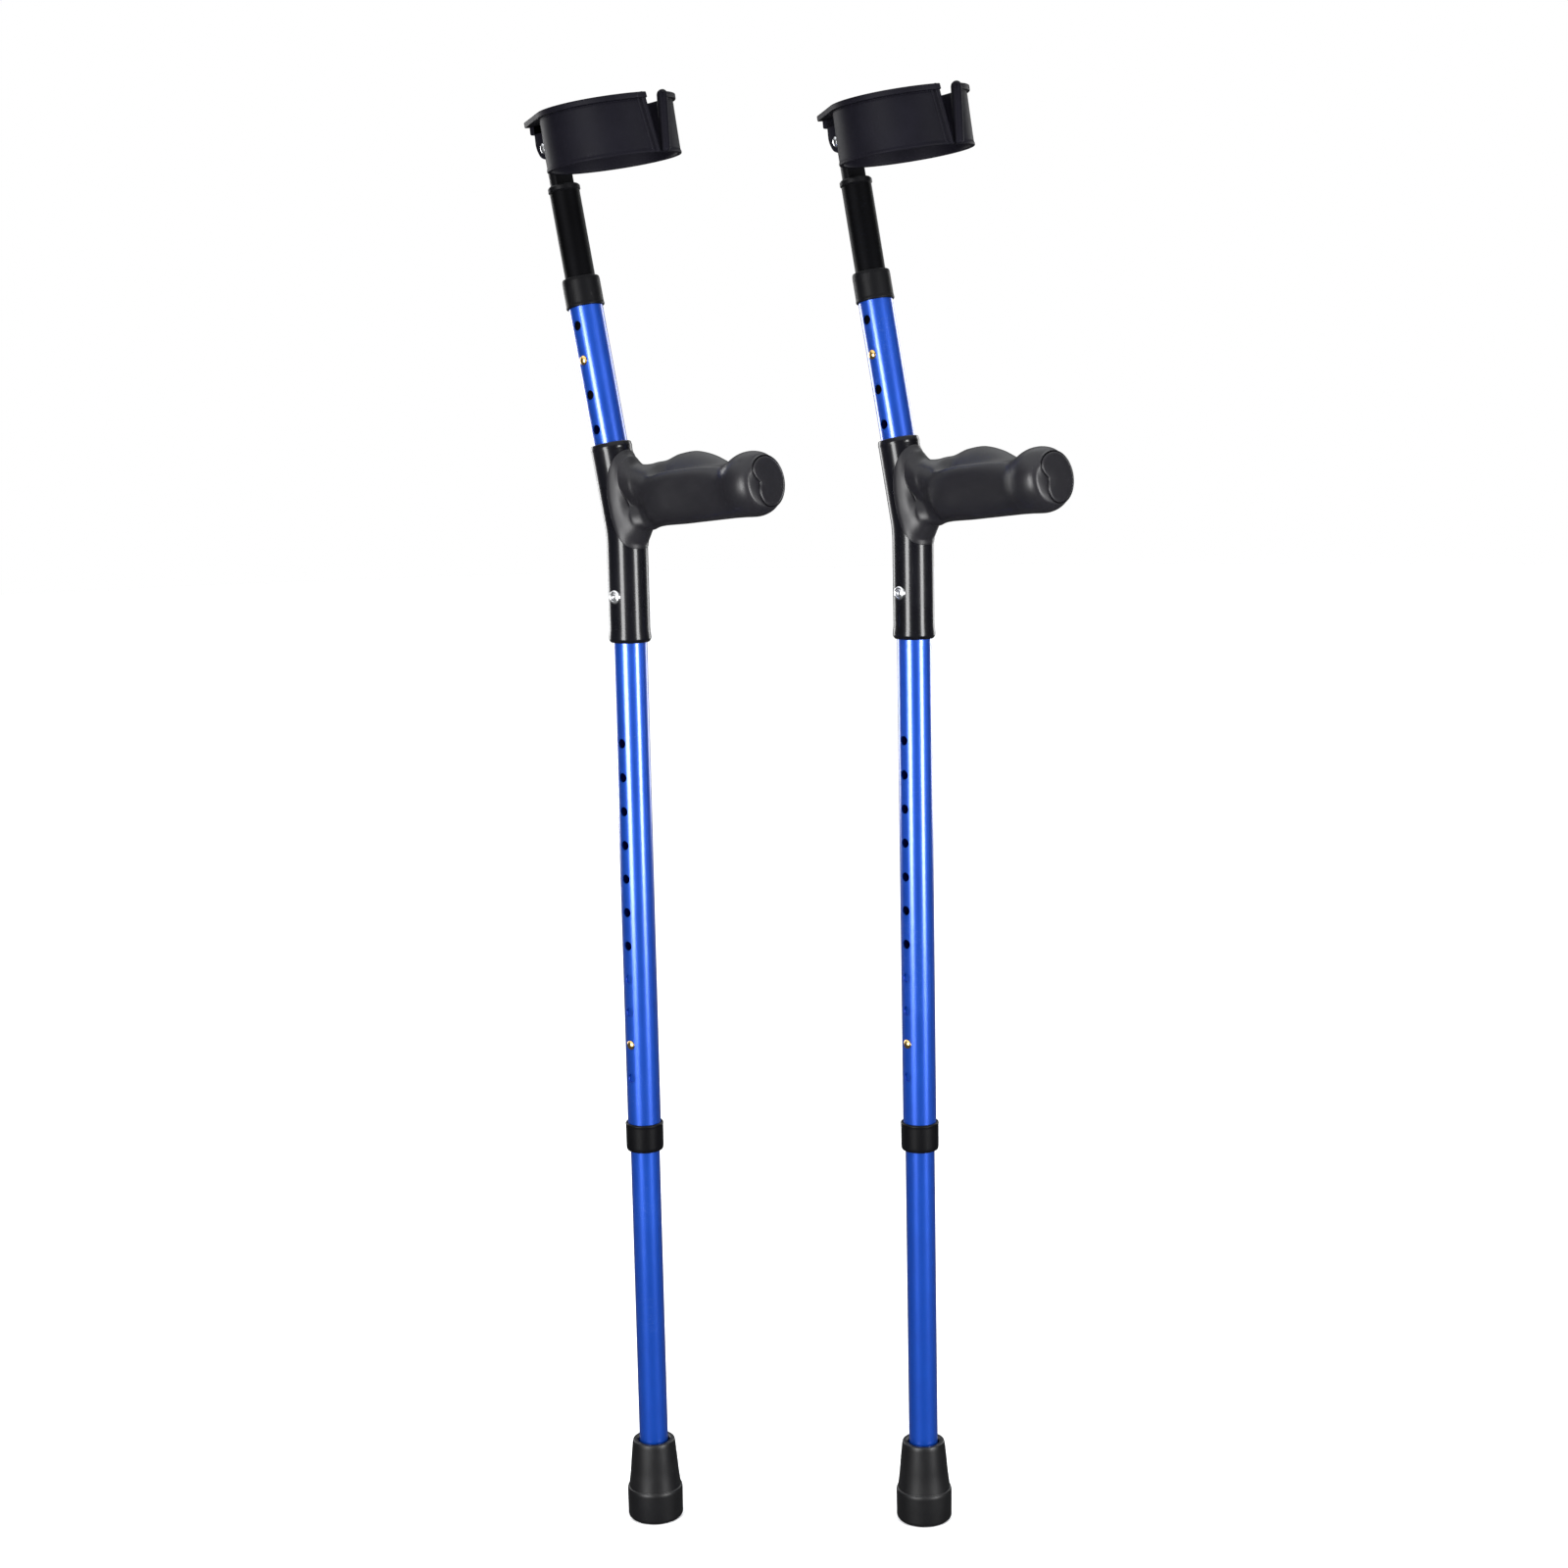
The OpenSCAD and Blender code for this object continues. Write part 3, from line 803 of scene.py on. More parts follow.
@dataclass
class Leg(Part):
    """The rubber tip, the sliding leg tube, its button and its end collar."""

    foot_radius: float = 21.3
    band_top: float = 24.5
    top: float = 62.7
    top_radius: float = 16.4
    tread_radii: tuple[float, float] = (7.5, 13.0)
    socket_radius: float = 11.05
    socket_foot: float = 14.0
    collar_foot: float = 294.8
    collar_height: float = 21.6
    collar_radius: float = 14.1
    collar_flare: float = 0.35
    lip_radius: float = 11.2
    tube_radius: float = 12.55
    tube_foot: float = 298.05

    def tip_outline(self) -> np.ndarray:
        """The tip's outline: treads, a banded foot, a shoulder, a long cone and a rolled mouth."""
        half, deep, edge = 1.0, 1.2, 0.3
        steps = ((-half, 0), (-half, deep), (half, deep), (half, 0))
        treads = [(middle + x, z, edge) for middle in self.tread_radii for x, z in steps]
        foot, shoulder = self.foot_radius, self.band_top
        side = [
            (foot - 2.0, 0.0, 1.0),
            (foot - 0.2, 2.0, 1.8),
            (foot, shoulder - 1.5, 1.0),
            (foot - 0.5, shoulder + 0.4, 0.5),
            (foot - 1.2, shoulder + 0.6, 0.4),
            (foot - 1.35, shoulder + 2.0, 0.6),
            (foot - 1.7, shoulder + 4.5, 3.0),
            (18.6, 37.0, 5.0),
            (17.9, 46.0, 5.0),
            (self.top_radius + 0.1, self.top - 2.4, 1.2),
            (self.top_radius - 0.5, self.top, 1.0),
            (self.socket_radius + 1.6, self.top, 1.2),
            (self.socket_radius + 0.35, self.top - 2.2, 1.0),
            (self.socket_radius, self.top - 6.0, 1.0),
            (self.socket_radius, self.socket_foot, 0.2),
        ]
        return rounded([(0.0, 0.0, 0.0), *treads, *side, (0.0, self.socket_foot, 0.0)])

    def collar_outline(self) -> np.ndarray:
        """The lower collar's ring: an inner lip at its foot, a rounded foot and a flared mouth."""
        r, high = self.collar_radius, self.collar_height
        mouth, seat = r + self.collar_flare, self.tube_foot - self.collar_foot
        return rounded(
            [
                (self.lip_radius, 0.0, 0.3),
                (r - 0.5, 0.0, 1.1),
                (r, 2.6, 1.6),
                (r + 0.05, high - 2.4, 1.0),
                (mouth, high - 0.9, 0.7),
                (mouth - 0.7, high, 0.5),
                (self.tube_radius + 0.1, high, 0.25),
                (self.tube_radius, seat, 0.0),
                (self.lip_radius, seat, 0.0),
            ],
            ring=True,
        )

    def build(self) -> None:
        """Builds the tip and the collar, and dresses the tubes and the button."""
        f = self.finishes
        tip = turned(self.tip_outline()).placed(self.body.stand)
        self.add("rubber_tip", tip, f.tip, "leg", "rubber_tip", ["ferrule"])
        collar = turned(self.collar_outline()).placed(self.body.stand.moved(z=self.collar_foot))
        self.add("lower_collar", collar, f.collar, "frame", "satin_plastic", ["leg_collar"])
        self.dress(["leg_tube", "main_tube"], f.blue_tube)
        self.dress(["leg_bush"], f.collar)
        self.dress(["leg_spring", "ferrule_washer"], f.steel)
        self.dress(["leg_button"], f.brass)


@dataclass
class Hub(Part):
    """The black hub at the bend, its bolt, and the tube above it."""

    radius: float = 15.0
    bore: float = 12.6
    foot: float = 681.0
    top: float = 65.7
    flare: float = 0.7
    bolt_height: float = 715.0
    bolt_radius: float = 5.0
    blend: float = 8.0
    long_side: float = 30.0
    long_steps: int = 28

    def axis_points(self, distance: np.ndarray) -> tuple[np.ndarray, np.ndarray]:
        """The hub's bent axis.

        Below -blend the axis is upright and above +blend it leans. Between them it is the
        quadratic curve through the bend, whose tilt grows evenly from 0 to the lean.

        Args:
            distance: distances along the axis from the bend, in millimetres.

        Returns:
            The axis points (x, z) and the tilt at each, in radians.
        """
        lean, reach = math.radians(self.body.lean), self.blend
        t = np.clip((distance + reach) / (2 * reach), 0, 1)
        past, before = np.maximum(distance - reach, 0), np.minimum(distance + reach, 0)
        x = -math.sin(lean) * (reach * t**2 + past)
        z = -reach * (1 - t) ** 2 + math.cos(lean) * (reach * t**2 + past) + before
        return np.stack([x, z], -1), lean * t

    def surface(self, distance: np.ndarray, radius: np.ndarray, angle: np.ndarray) -> np.ndarray:
        """Points round the bent axis.

        The point is axis + r (cos a X' + sin a Y), where X' is X tilted with the axis.

        Args:
            distance: distance along the axis from the bend.
            radius: distance from the axis.
            angle: angle from +X towards +Y, in radians.

        Returns:
            Points in the crutch's frame, in millimetres.
        """
        spots, tilt = self.axis_points(distance)
        out = radius * np.cos(angle)
        return np.stack(
            [
                spots[..., 0] + out * np.cos(tilt),
                radius * np.sin(angle),
                self.body.bend + spots[..., 1] + out * np.sin(tilt),
            ],
            -1,
        )

    def shell(self) -> Shell:
        """The hub: its outline (radius, distance) is carried round the bent axis as a ring.

        The outline's long sides get extra points, so that they follow the bend.
        """
        low = self.foot - self.body.bend
        outline = rounded(
            [
                (self.bore, low, 0.4),
                (self.radius - 0.9, low, 0.9),
                (self.radius + self.flare, low + 2.4, 1.8),
                (self.radius + self.flare * 0.8, low + 4.5, 1.5),
                (self.radius, low + 9.0, 4.0),
                (self.radius, self.top - 4.6, 1.0),
                (self.radius + 0.25, self.top - 3.4, 0.8),
                (self.radius - 0.3, self.top - 0.3, 0.8),
                (self.radius - 1.4, self.top, 0.5),
                (self.bore, self.top, 0.3),
            ],
            ring=True,
        )
        dense = []
        for a, b in zip(outline, np.roll(outline, -1, 0)):
            steps = self.long_steps if abs(b[1] - a[1]) > self.long_side else 1
            dense.append(a + (b - a) * np.linspace(0, 1, steps, endpoint=False)[:, None])
        ring = np.vstack(dense)
        angle = np.linspace(0, 2 * np.pi, ROUND_STEPS, endpoint=False)
        radius, distance = (np.repeat(ring[:, k : k + 1], ROUND_STEPS, 1) for k in (0, 1))
        net = self.surface(distance, radius, np.repeat(angle[None], len(ring), 0))
        return grid_shell(net, ring_u=True, ring_v=True)

    def bolt_outline(self, seat: float) -> np.ndarray:
        """A domed head with a ring groove and a round socket, standing out from the seat."""
        r = self.bolt_radius
        return rounded(
            [
                (0.0, seat + 0.7, 0.0),
                (1.3, seat + 0.7, 0.15),
                (1.5, seat + 1.75, 0.2),
                (2.6, seat + 1.7, 0.2),
                (2.9, seat + 1.25, 0.2),
                (3.3, seat + 1.6, 0.2),
                (r - 0.6, seat + 1.25, 0.5),
                (r, seat + 0.5, 0.3),
                (r, seat - 1.0, 0.0),
                (2.5, seat - 1.0, 0.0),
                (2.5, 1.0, 0.0),
                (0.0, 1.0, 0.0),
            ],
            steps=4,
        )

    def build(self) -> None:
        """Builds the hub and its bolt, whose head looks towards -Y, and dresses their neighbours."""
        f = self.finishes
        hub = self.shell().placed(self.body.stand)
        self.add("hub_shell", hub, f.hub, "frame", "gloss_plastic", ["hub"])
        head = along(Axis.Y, turned(self.bolt_outline(self.radius - 0.1), 64))
        head.points[:, 1] *= -1
        place = self.body.stand.moved(z=self.bolt_height)
        self.add("hub_bolt_head", head.outward().placed(place), f.steel, "frame", "steel", ["hub_bolt"])
        self.dress(["upper_tube"], f.blue_upper)
        self.dress(["hub_nut", "upper_rivet"], f.steel)


# ---------------------------------------------------------------- hand grip


@dataclass
class Grip(Part):
    """The soft hand grip: a saddle on the hub, a shaped barrel with a palm wing, and a knob."""

    hub: Hub
    saddle_half: float = 24.3
    saddle_up: float = 37.0
    saddle_down: float = 31.5
    steps_round: int = 192
    steps_along: int = 7
    reach: float = 137.5
    face_foot: float = 134.8
    face_radius: float = 19.2
    cap_radius: float = 18.2
    sunk: float = -0.8

    def saddle_edge(self, phi: np.ndarray) -> np.ndarray:
        """How far the saddle reaches over the hub in each direction.

        The edge is a superellipse (|sin p| / half)^n + (|cos p| / reach)^n = r^-n, blunter below
        than above.
        """
        up = np.cos(phi) > 0
        n = np.where(up, 2.15, 2.85)
        reach = np.where(up, self.saddle_up, self.saddle_down)
        across, along_leg = np.abs(np.sin(phi)) / self.saddle_half, np.abs(np.cos(phi)) / reach
        return (across**n + along_leg**n) ** (-1 / n)

    def on_hub(self, phi: np.ndarray, share: np.ndarray, lift: np.ndarray) -> np.ndarray:
        """Points over the hub, a share of the way out to the saddle's edge, lifted off its face."""
        out = self.saddle_edge(phi) * share
        height = self.body.grip_height + out * np.cos(phi) - self.body.bend
        distance = np.where(height > 0, height / math.cos(math.radians(self.body.lean)), height)
        angle = out * np.sin(phi) / (self.hub.radius + 1.4)
        return self.hub.surface(distance, self.hub.radius + lift, angle)

    def on_barrel(self, along_axis: np.ndarray, radius: np.ndarray, phi: np.ndarray) -> np.ndarray:
        """Points round the grip's axis, in the crutch's frame: (s, r sin p, r cos p)."""
        rise = math.radians(self.body.grip_rise)
        s, up = along_axis + 0 * phi, radius * np.cos(phi)
        return np.stack(
            [
                s * math.cos(rise) - up * math.sin(rise),
                radius * np.sin(phi),
                self.body.grip_height + s * math.sin(rise) + up * math.cos(rise),
            ],
            -1,
        )

    @staticmethod
    def swell(phi: np.ndarray, middle: float, before: float, after: float) -> np.ndarray:
        """A bell of height 1 about an angle in degrees, exp(-(d / width)^2), wide before and after."""
        apart = np.degrees(np.angle(np.exp(1j * (phi - math.radians(middle)))))
        return np.exp(-((apart / np.where(apart < 0, before, after)) ** 2))

    def section(self, s: float, phi: np.ndarray) -> np.ndarray:
        """The barrel's radius in every direction at one distance along the axis.

        It is side + (under - side) * max(0, -cos p)^2 + ridge bell + wing bell - the finger dent.
        """
        beside = ((30, 15.0), (44, 17.0), (62, 16.7), (80, 16.4), (94, 16.2), (103, 16.9))
        flare = ((108.5, 18.6), (114, 21.2))
        lower = ((30, 19.3), (40, 19.3), (55, 20.2), (83, 21.0), (104, 21.6), (114, 22.2))
        knob = ((119.5, 22.7), (125, 22.95), (129.5, 22.2), (132.6, 20.9), (134.8, 19.2))
        crest = ((30, 3.0), (40, 3.8), (57, 4.8), (82, 4.2), (94, 2.6), (103, 0.8), (111, 0.0))
        fin = ((30, 18.5), (40, 20.2), (48, 20.6), (57, 20.5), (73, 16.6), (87, 9.6))
        fin_end = ((98, 3.6), (106, 0.6), (111, 0.0))
        side, under, ridge, wing = (
            float(np.interp(s, *zip(*stations)))
            for stations in (beside + flare + knob, lower + knob, crest, fin + fin_end)
        )
        below = np.maximum(0, -np.cos(phi)) ** 2
        dent = 1.2 * np.exp(-(((s - 70) / 22) ** 2)) * self.swell(phi, -112, 30, 26)
        return (
            side
            + (under - side) * below
            + ridge * self.swell(phi, -33, 27, 13)
            + wing * self.swell(phi, 35, 19, 27)
            - dent
        )

    def root(self, phi: np.ndarray) -> list[np.ndarray]:
        """The rows that carry the saddle into the barrel.

        Each value is its value beside the axis * (1 - up - down) + its value above * up + its
        value under * down, where up and down are cos^2 of the direction above and below the axis.
        The neck's two bells, low on each side, draw the skin in.
        """
        up = np.maximum(0, np.cos(phi)) ** 2
        down = np.maximum(0, -np.cos(phi)) ** 2
        wing = self.swell(phi, 35, 24, 30)
        neck = self.swell(phi, -125, 26, 26) + self.swell(phi, 125, 26, 26)

        def mix(beside: float, above: float, under: float) -> np.ndarray:
            """A value for every direction from its value beside, above and under the axis."""
            return beside * (1 - up - down) + above * up + under * down

        # Share of the way to the saddle's edge, what the neck takes off it, and the lift
        over_hub = (
            ((0.995, 0.995, 0.99), 0.0, (0.6, 0.5, 0.25)),
            ((0.97, 0.98, 0.95), 0.0, (1.1, 0.9, 0.5)),
            ((0.84, 0.94, 0.88), 0.0, (1.6, 1.4, 1.0)),
            ((0.62, 0.90, 0.80), 0.04, (2.3, 2.1, 3.0)),
            ((0.43, 0.87, 0.71), 0.08, (3.1, 3.0, 5.5)),
            ((0.37, 0.84, 0.63), 0.09, (3.0, 4.0, 8.5)),
        )
        # Distance along the axis, radius, what the wing adds to it and what the neck takes off
        round_axis = (
            ((17.0, 15.0, 23.8), (9.4, 27.8, 20.9), 4.0, 3.0),
            ((20.5, 18.3, 27.5), (9.9, 25.7, 20.0), 7.0, 2.2),
            ((25.0, 23.5, 31.4), (11.5, 23.6, 19.4), 10.5, 1.0),
            ((31.0, 30.3, 34.6), (14.4, 21.0, 19.3), 15.0, 0.0),
        )
        rows = [self.on_hub(phi, np.ones_like(phi), np.full_like(phi, self.sunk))]
        for share, less, lift in over_hub:
            rows.append(self.on_hub(phi, mix(*share) - less * neck, mix(*lift)))
        for distance, radius, more, less in round_axis:
            reach = mix(*radius) + more * wing * up - less * neck
            rows.append(self.on_barrel(mix(*distance), reach, phi))
        return rows

    def shell(self) -> Shell:
        """The grip in one skin.

        Its back follows the hub just under the hub's face, so nothing crosses the bore. From the
        saddle's edge to the knob a spline joins the control rows, and the end face closes in to
        the cap's outline.
        """
        phi = np.linspace(0, 2 * np.pi, self.steps_round, endpoint=False)
        rows = self.root(phi)
        barrel, knob = (38.5, 47, 57, 68, 79, 89, 97, 103), (108.5, 114, 119.5, 125, 129.5, 132.6)
        for s in (*barrel, *knob, self.face_foot):
            rows.append(self.on_barrel(np.full_like(phi, s), self.section(s, phi), phi))
        skin = spline(np.stack(rows), self.steps_along)
        rim = self.cap_radius * self.cap_share(phi)
        foot, radius = self.face_foot, self.face_radius
        shares = (0.2, 0.4, 0.6, 0.8, 1.0)
        face = [(foot + 1.5 * k * (2 - k), radius + (rim + 0.7 - radius) * k) for k in shares]
        seat = [(foot + 1.4, rim + 0.35), (foot + 1.0, rim + 0.15), (foot - 1.0, rim)]
        end = np.stack([self.on_barrel(np.full_like(phi, s), r, phi) for s, r in face + seat])
        sunk, spread = np.full_like(phi, self.sunk), np.linspace(0.04, 0.96, 14)
        back = np.stack([self.on_hub(phi, np.full_like(phi, share), sunk) for share in spread])
        return grid_shell(np.concatenate([back, skin, end]), ring_u=False, ring_v=True)

    def cap_share(self, phi: np.ndarray) -> np.ndarray:
        """The cap's outline against a circle: 1, less a deep waist on the thumb side."""
        return 1 - 0.55 * self.swell(phi, -92, 56, 26)

    def cap(self) -> Shell:
        """The end cap: rings at a share k of its radius, domed by k^2 / 2, waisted like its seat."""
        phi = np.linspace(0, 2 * np.pi, self.steps_round, endpoint=False)
        rim = (self.cap_radius - 0.3) * self.cap_share(phi)
        dome = [(k, 0.5 * k**2) for k in np.linspace(0.06, 0.9, 9)]
        edge = [(0.96, 0.6), (0.99, 0.9), (1.0, 1.5), (1.0, 3.6)]
        rows = [
            self.on_barrel(np.full_like(phi, self.reach - drop), rim * k, phi)
            for k, drop in dome + edge
        ]
        return grid_shell(np.stack(rows), ring_u=False, ring_v=True)

    def build(self) -> None:
        """Builds the grip and its cap, and dresses the screw behind the cap."""
        f = self.finishes
        grip = self.shell().placed(self.body.stand)
        self.add("hand_grip", grip, f.grip, "frame", "soft_grip", ["grip"], sharp=60.0)
        cap = self.cap().placed(self.body.stand)
        self.add("grip_end_cap", cap, f.grip, "frame", "soft_grip", ["grip_cap"])
        self.dress(["grip_screw"], f.steel)


# ---------------------------------------------------------------- stem and cuff


@dataclass
class Stem(Part):
    """The black stem that slides in the upper tube, and its collar, head and button."""

    collar_foot: float = 166.1
    collar_height: float = 21.6
    collar_radius: float = 13.85
    lip_radius: float = 11.2
    tube_radius: float = 12.55
    tube_top: float = 183.05

    def collar_outline(self) -> np.ndarray:
        """The upper collar's ring: a rolled foot, a straight body and an inner lip at the top."""
        r, low, high = self.collar_radius, self.collar_foot, self.collar_foot + self.collar_height
        return rounded(
            [
                (self.tube_radius, low, 0.2),
                (r - 0.2, low, 0.5),
                (r + 0.35, low + 1.0, 0.7),
                (r, low + 2.6, 1.2),
                (r, high - 2.2, 1.4),
                (r - 0.5, high, 0.9),
                (self.lip_radius, high, 0.3),
                (self.lip_radius, self.tube_top, 0.0),
                (self.tube_radius, self.tube_top, 0.0),
            ],
            ring=True,
        )

    def build(self) -> None:
        """Builds the collar and dresses the stem's nodes."""
        f = self.finishes
        collar = turned(self.collar_outline()).placed(self.body.upper)
        self.add("upper_collar_ring", collar, f.collar, "frame", "satin_plastic", ["upper_collar"])
        self.dress(["stem_tube"], f.stem_tube)
        self.dress(["stem_bush", "stem_head"], f.collar)
        self.dress(["stem_spring", "cuff_rivet", "cuff_washer"], f.steel)
        self.dress(["stem_button"], f.brass)


@dataclass
class Cuff(Part):
    """The open-fronted forearm cuff: band, flange with its rear tab, slot lips and bracket."""

    radius: float = 48.0
    wall: float = 3.0
    height: float = 41.5
    flange: float = 4.3
    flange_out: float = 2.0
    tab_back: float = 72.0
    tab_half: float = 11.5
    slot_turn: float = -2.2
    slot_top: float = 16.5
    slot_foot: float = 2.6
    cheek_in: float = 6.3
    cheek_out: float = 11.5
    steps_round: int = 240

    def flange_reach(self, angle: np.ndarray) -> np.ndarray:
        """The flange's outline: a circle drawn out along two tangents to a tab at the back.

        With a the angle from the front, the radius is R up to the tangent's foot, then
        R / cos(a - foot) up to the tab's corner, then back / cos(180 - a).
        """
        r = self.radius + self.flange_out
        corner = math.atan2(self.tab_half, -self.tab_back)
        foot = corner - math.acos(r / math.hypot(self.tab_back, self.tab_half))
        a = np.abs(np.angle(np.exp(1j * angle)))
        slope = r / np.cos(np.clip(a - foot, 0, 1.2))
        return np.where(a < foot, r, np.where(a < corner, slope, self.tab_back / np.cos(np.pi - a)))

    def half_gap(self, z: np.ndarray) -> np.ndarray:
        """Half of the slot's width at a height."""
        return (self.slot_foot + (self.slot_top - self.slot_foot) * z / self.height) / 2

    def band(self) -> Shell:
        """The band and flange: a section (radius, height, pull) swept from lip to lip.

        At share t the angle is edge(z) + t (2 pi - 2 edge(z)) from the slot, where edge(z) is
        asin(half gap / radius), and a point's radius grows by pull times how far the flange
        reaches past its own circle.
        """
        r, h, under = self.radius, self.height, self.height - self.flange
        out = r + self.flange_out
        plain = rounded(
            [
                (r - self.wall + 0.3, 0.0, 0.5),
                (r + 0.45, -0.2, 0.7),
                (r + 0.55, 1.3, 0.7),
                (r, 2.6, 1.0),
                (r - 0.15, under - 1.4, 0.6),
                (r - 0.45, under - 0.2, 0.3),
                (out, under + 0.2, 0.7),
                (out + 0.1, h - 0.4, 0.8),
                (out - 1.2, h, 0.8),
                (r - self.wall + 0.4, h - 0.1, 0.7),
                (r - self.wall, h - 2.0, 0.9),
                (r - self.wall, 1.5, 0.8),
            ],
            ring=True,
            steps=5,
        )
        pull = smoothstep(plain[:, 0], r + 0.9, out - 0.3) * (plain[:, 1] > under - 1)
        share = np.linspace(0, 1, self.steps_round)[:, None]
        edge = np.arcsin(self.half_gap(plain[:, 1]) / r)[None]
        angle = math.radians(self.slot_turn) + edge + share * (2 * np.pi - 2 * edge)
        reach = plain[None, :, 0] + pull[None] * (self.flange_reach(angle) - out)
        net = np.stack([reach * np.cos(angle), reach * np.sin(angle), plain[None, :, 1] + 0 * angle], -1)
        return grid_shell(net, ring_u=False, ring_v=True, fan=False)

    def lip(self, hand: float, radius: float, back: float, top: float, out: float) -> Shell:
        """A round-ended bead beside the slot, in the slot's own slope.

        It is a tube of the given radius about a line on the band's face. At each end its radius
        is r sin a while its height falls by r (1 - cos a), for a from 90 degrees down to 11.

        Args:
            hand: -1 for the near lip, 1 for the far one.
            radius: the bead's radius.
            back: how far its middle is from the slot's edge.
            top: how far it stands above the band.
            out: how far its middle is outside the band's middle wall.

        Returns:
            The bead, in the ring's frame.
        """
        turn = np.linspace(0.12, 1, 8) * np.pi / 2
        foot = radius / 2 * (1 - np.cos(turn)) - 0.4
        head = self.height + top - radius * (1 - np.cos(turn[::-1]))
        z = np.concatenate([foot, np.linspace(2, self.height - 3, 12), head])
        size = np.concatenate([np.sin(turn), np.ones(12), np.sin(turn[::-1])]) * radius
        around = np.linspace(0, 2 * np.pi, 40, endpoint=False)
        angle = math.radians(self.slot_turn) + hand * (self.half_gap(z) + back) / self.radius
        middle = self.radius - self.wall / 2 + out
        radial = middle + np.outer(size, np.cos(around))
        aside = np.outer(size, np.sin(around))
        c, s = np.cos(angle)[:, None], np.sin(angle)[:, None]
        net = np.stack([radial * c - aside * s, radial * s + aside * c, z[:, None] + 0 * aside], -1)
        return grid_shell(net, ring_u=False, ring_v=True)

    def bracket(self) -> Shell:
        """Two cheeks that taper to the pivot, and the block that joins them under the tab."""
        wall = self.body.ring_forward - self.radius + self.wall / 2
        top = self.body.ring_foot + self.height - self.flange / 2
        cheek = rounded(
            [
                (-8.7, top, 0.0),
                (-8.7, 1.0, 5.0),
                (-4.8, -6.4, 4.0),
                (0.5, -8.6, 5.0),
                (wall + 1.0, -12.0, 1.0),
                (wall + 1.0, top, 0.0),
            ],
            ring=True,
        )
        back, foot = -12.8, 11.0
        block = rounded(
            [(back, foot, 1.2), (wall, foot, 0.0), (wall, top, 0.0), (back, top, 0.6)], ring=True
        )
        return joined(
            plate(cheek, -self.cheek_out, -self.cheek_in, 0.7),
            plate(cheek, self.cheek_in, self.cheek_out, 0.7),
            plate(block, -self.cheek_out, self.cheek_out, 0.8),
        )

    def build(self) -> None:
        """Builds the cuff as a band with its lips, and a bracket."""
        f = self.finishes
        lips = [
            self.lip(hand=1.0, radius=3.8, back=3.4, top=1.6, out=0.6),
            self.lip(hand=-1.0, radius=2.0, back=1.6, top=0.4, out=0.5),
            self.lip(hand=-1.0, radius=1.1, back=6.2, top=-4.4, out=1.2),
        ]
        band = joined(self.band(), *lips).placed(self.body.ring)
        self.add("cuff_band", band, f.cuff, "cuff_ring", "satin_plastic", ["cuff"], sharp=38.0)
        bracket = self.bracket().placed(self.body.bracket)
        self.add("cuff_bracket", bracket, f.cuff, "cuff_ring", "satin_plastic")


# ---------------------------------------------------------------- studio


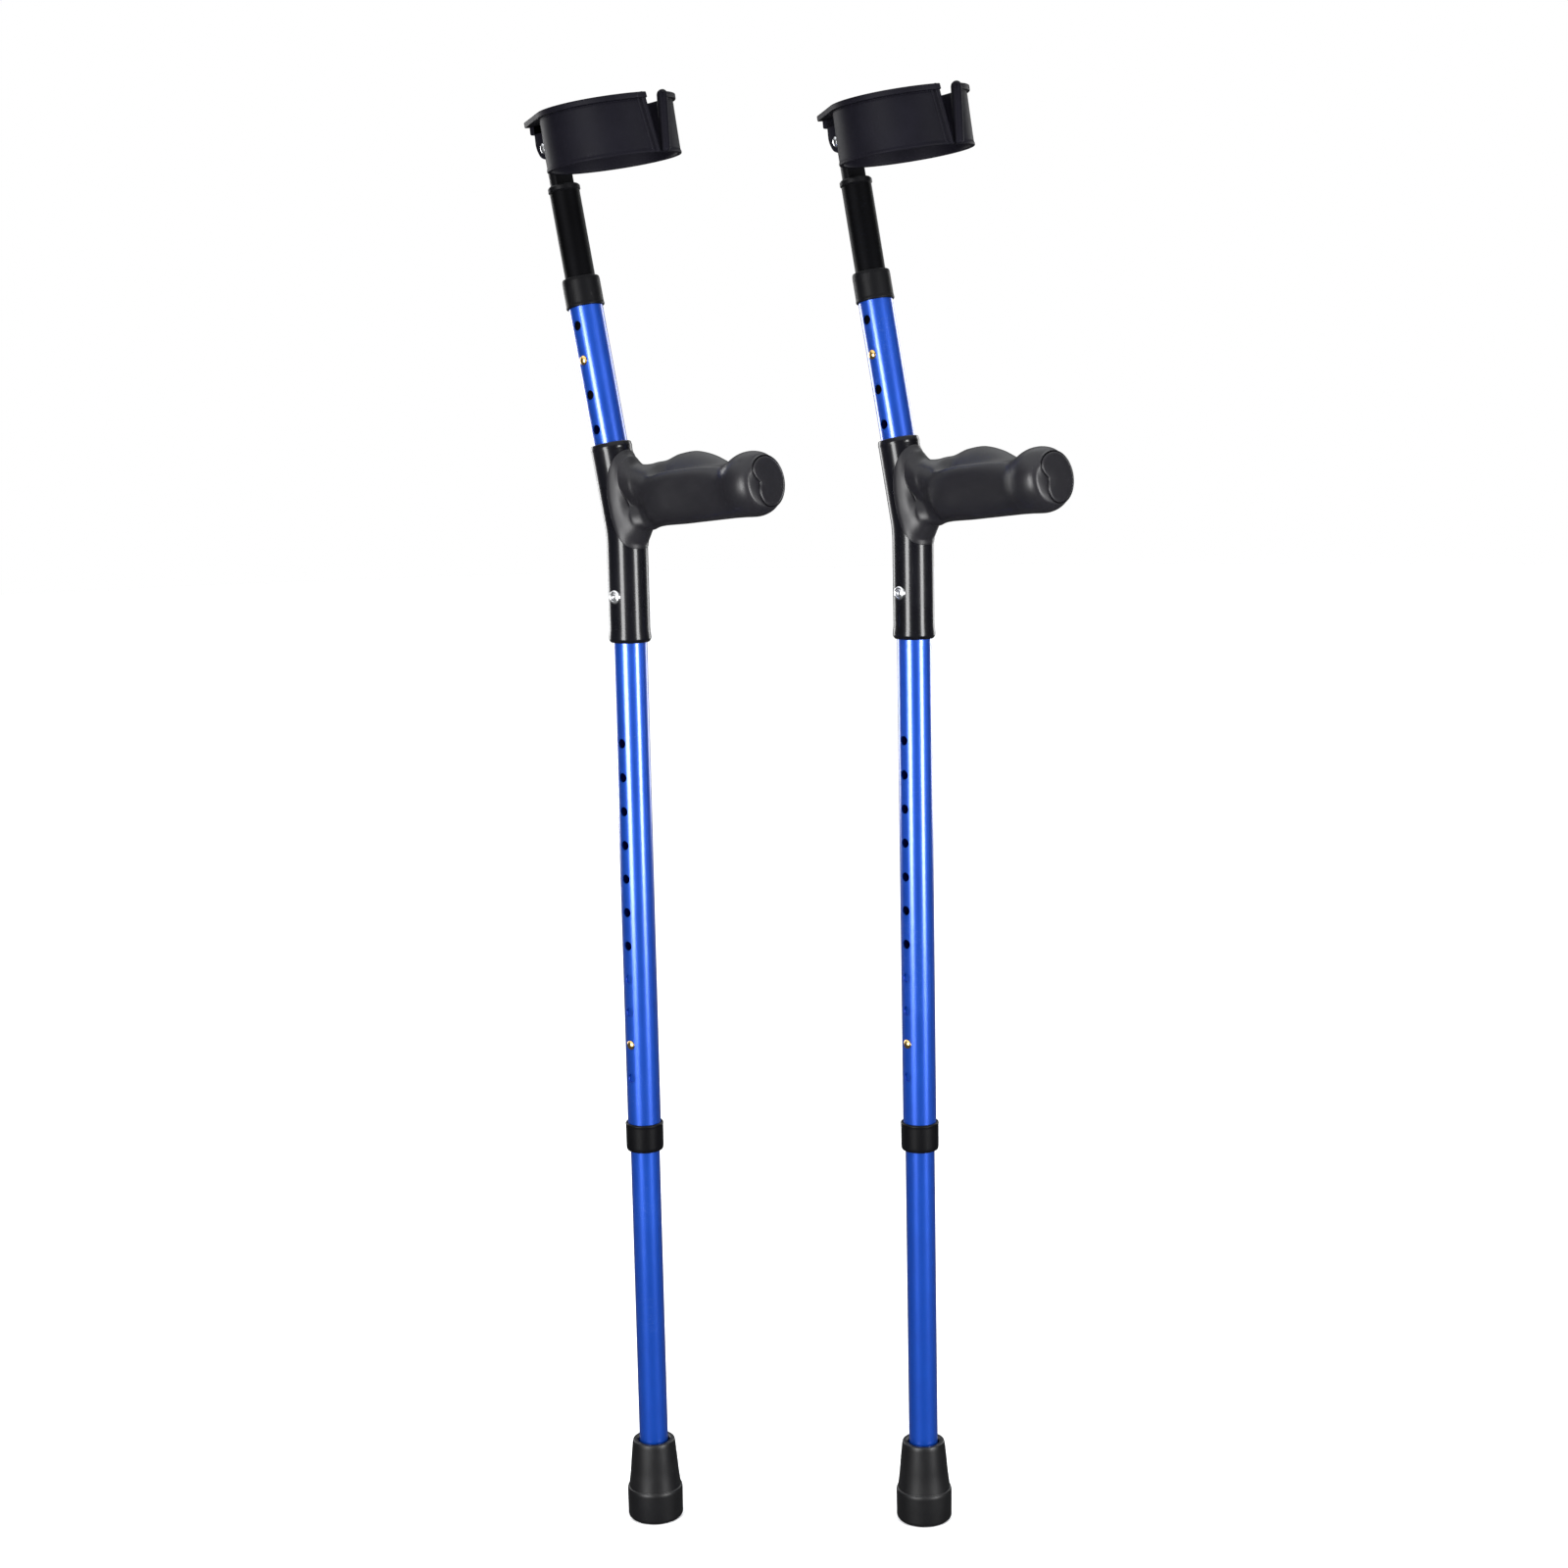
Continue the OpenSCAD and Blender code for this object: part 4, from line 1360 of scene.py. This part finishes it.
@dataclass
class Studio:
    """The floor, the lights and the camera."""

    finishes: Finishes
    eye: Triple = (1.2967, -1.3729, 0.8853)
    heading: Triple = (-0.6428, 0.7660, 0.0)
    look_down: float = 9.41
    roll: float = -1.15
    lens: float = 59.2
    middle: Triple = (0.084, 0.0615, 0.5)
    dim_below: float = 0.30
    bright_above: float = 0.80
    dim: float = 0.09
    bright: float = 1.9
    floor_gap: float = 0.0003

    def camera(self) -> None:
        """Stands the camera at eye height, looking a little down on the pair."""
        down = math.radians(self.look_down)
        aim = Vector(self.heading).normalized() * math.cos(down) + Vector((0, 0, -math.sin(down)))
        data = bpy.data.cameras.new("studio_camera")
        data.lens, data.sensor_width = self.lens, 36.0
        made = bpy.data.objects.new("studio_camera", data)
        made.location = self.eye
        turn = aim.to_track_quat("-Z", "Y").to_matrix() @ Matrix.Rotation(math.radians(self.roll), 3, "Z")
        made.rotation_euler = turn.to_euler()
        bpy.context.scene.collection.objects.link(made)
        bpy.context.scene.camera = made

    def light(
        self,
        name: str,
        azimuth: float,
        distance: float,
        height: float,
        size: tuple[float, float],
        power: float,
    ) -> None:
        """Hangs one soft box that faces the middle of the pair.

        Args:
            name: the light's name.
            azimuth: degrees from +X, seen from above.
            distance: metres from the middle of the pair, seen from above.
            height: metres above the floor.
            size: its width and height in metres.
            power: watts.
        """
        data = bpy.data.lights.new(name, "AREA")
        data.shape, data.size, data.size_y, data.energy = "RECTANGLE", *size, power
        made = bpy.data.objects.new(name, data)
        made.visible_camera = False
        a = math.radians(azimuth)
        made.location = Vector(self.middle) + Vector((math.cos(a), math.sin(a), 0)) * distance
        made.location.z = height
        aim = Vector(self.middle) - made.location
        made.rotation_euler = aim.to_track_quat("-Z", "Y").to_euler()
        bpy.context.scene.collection.objects.link(made)

    def lights(self) -> None:
        """Two upright strips, one on each side of the camera, and two weaker ones behind the pair."""
        self.light("left_strip", -85.0, 2.2, 0.66, (0.72, 1.3), 84.0)
        self.light("right_strip", -3.0, 2.2, 0.62, (0.62, 1.2), 70.0)
        self.light("back_left_strip", 168.0, 2.4, 0.8, (0.8, 1.4), 20.0)
        self.light("back_right_strip", 92.0, 2.4, 0.8, (0.8, 1.4), 16.0)

    def world(self) -> None:
        """The room: white to the camera, and otherwise dim at eye level and bright overhead."""
        room = bpy.data.worlds.new("studio_air")
        g = Graph(room)
        heading = g.node("ShaderNodeTexCoord", {}, {}).outputs["Generated"]
        levels = {
            "Value": g.node("ShaderNodeSeparateXYZ", {}, {0: heading}).outputs["Z"],
            "From Min": self.dim_below,
            "From Max": self.bright_above,
            "To Min": self.dim,
            "To Max": self.bright,
        }
        level = g.node("ShaderNodeMapRange", {"interpolation_type": "SMOOTHSTEP"}, levels)
        air_values = {"Color": (0.97, 0.985, 1.0), "Strength": level.outputs["Result"]}
        air = g.node("ShaderNodeBackground", {}, air_values).outputs[0]
        white = g.node("ShaderNodeBackground", {}, {"Color": (1.0, 1.0, 1.0)}).outputs[0]
        seen = g.node("ShaderNodeLightPath", {}, {}).outputs["Is Camera Ray"]
        mixed = g.node("ShaderNodeMixShader", {}, {0: seen, 1: air, 2: white}).outputs[0]
        g.node("ShaderNodeOutputWorld", {}, {"Surface": mixed})
        bpy.context.scene.world = room

    def floor(self) -> None:
        """A wide round floor a hair under the tips: rings of points at growing radii."""
        radii = np.array([0.5, 1.0, 2.0, 4.0, 9.0])[:, None]
        angle = np.linspace(0, 2 * np.pi, 96, endpoint=False)[None]
        low = min(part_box(f"{side.value}_ferrule")[0].z for side in Side) - self.floor_gap
        net = np.stack([radii * np.cos(angle), radii * np.sin(angle), low + 0 * radii * angle], -1)
        count = net.shape[1]
        index = np.arange(net.shape[0] * count).reshape(-1, count)
        inner, outer = index[:-1], index[1:]
        quads = np.stack([outer, np.roll(outer, -1, 1), np.roll(inner, -1, 1), inner], -1)
        faces = quads.reshape(-1, 4).tolist() + [index[0].tolist()]
        made = make_piece("studio_floor", Shell(net.reshape(-1, 3), faces), self.finishes.floor)
        made.visible_glossy = False

    def build(self) -> None:
        """Sets up the whole studio."""
        self.camera()
        self.lights()
        self.world()
        self.floor()
        bpy.context.scene.view_settings.view_transform = "Standard"


def build_crutch(side: Side, finishes: Finishes) -> None:
    """Builds one crutch from its foot up."""
    body = Body(stand_of(side))
    hub = Hub(side, body, finishes)
    parts = [
        Leg(side, body, finishes),
        hub,
        Grip(side, body, finishes, hub),
        Stem(side, body, finishes),
        Cuff(side, body, finishes),
    ]
    for part in parts:
        part.build()


def main() -> None:
    """Builds the studio and both crutches."""
    logging.basicConfig(level=logging.INFO, format="%(message)s")
    finishes = Finishes()
    Studio(finishes).build()
    for side in Side:
        build_crutch(side, finishes)


if __name__ == "__main__":
    main()
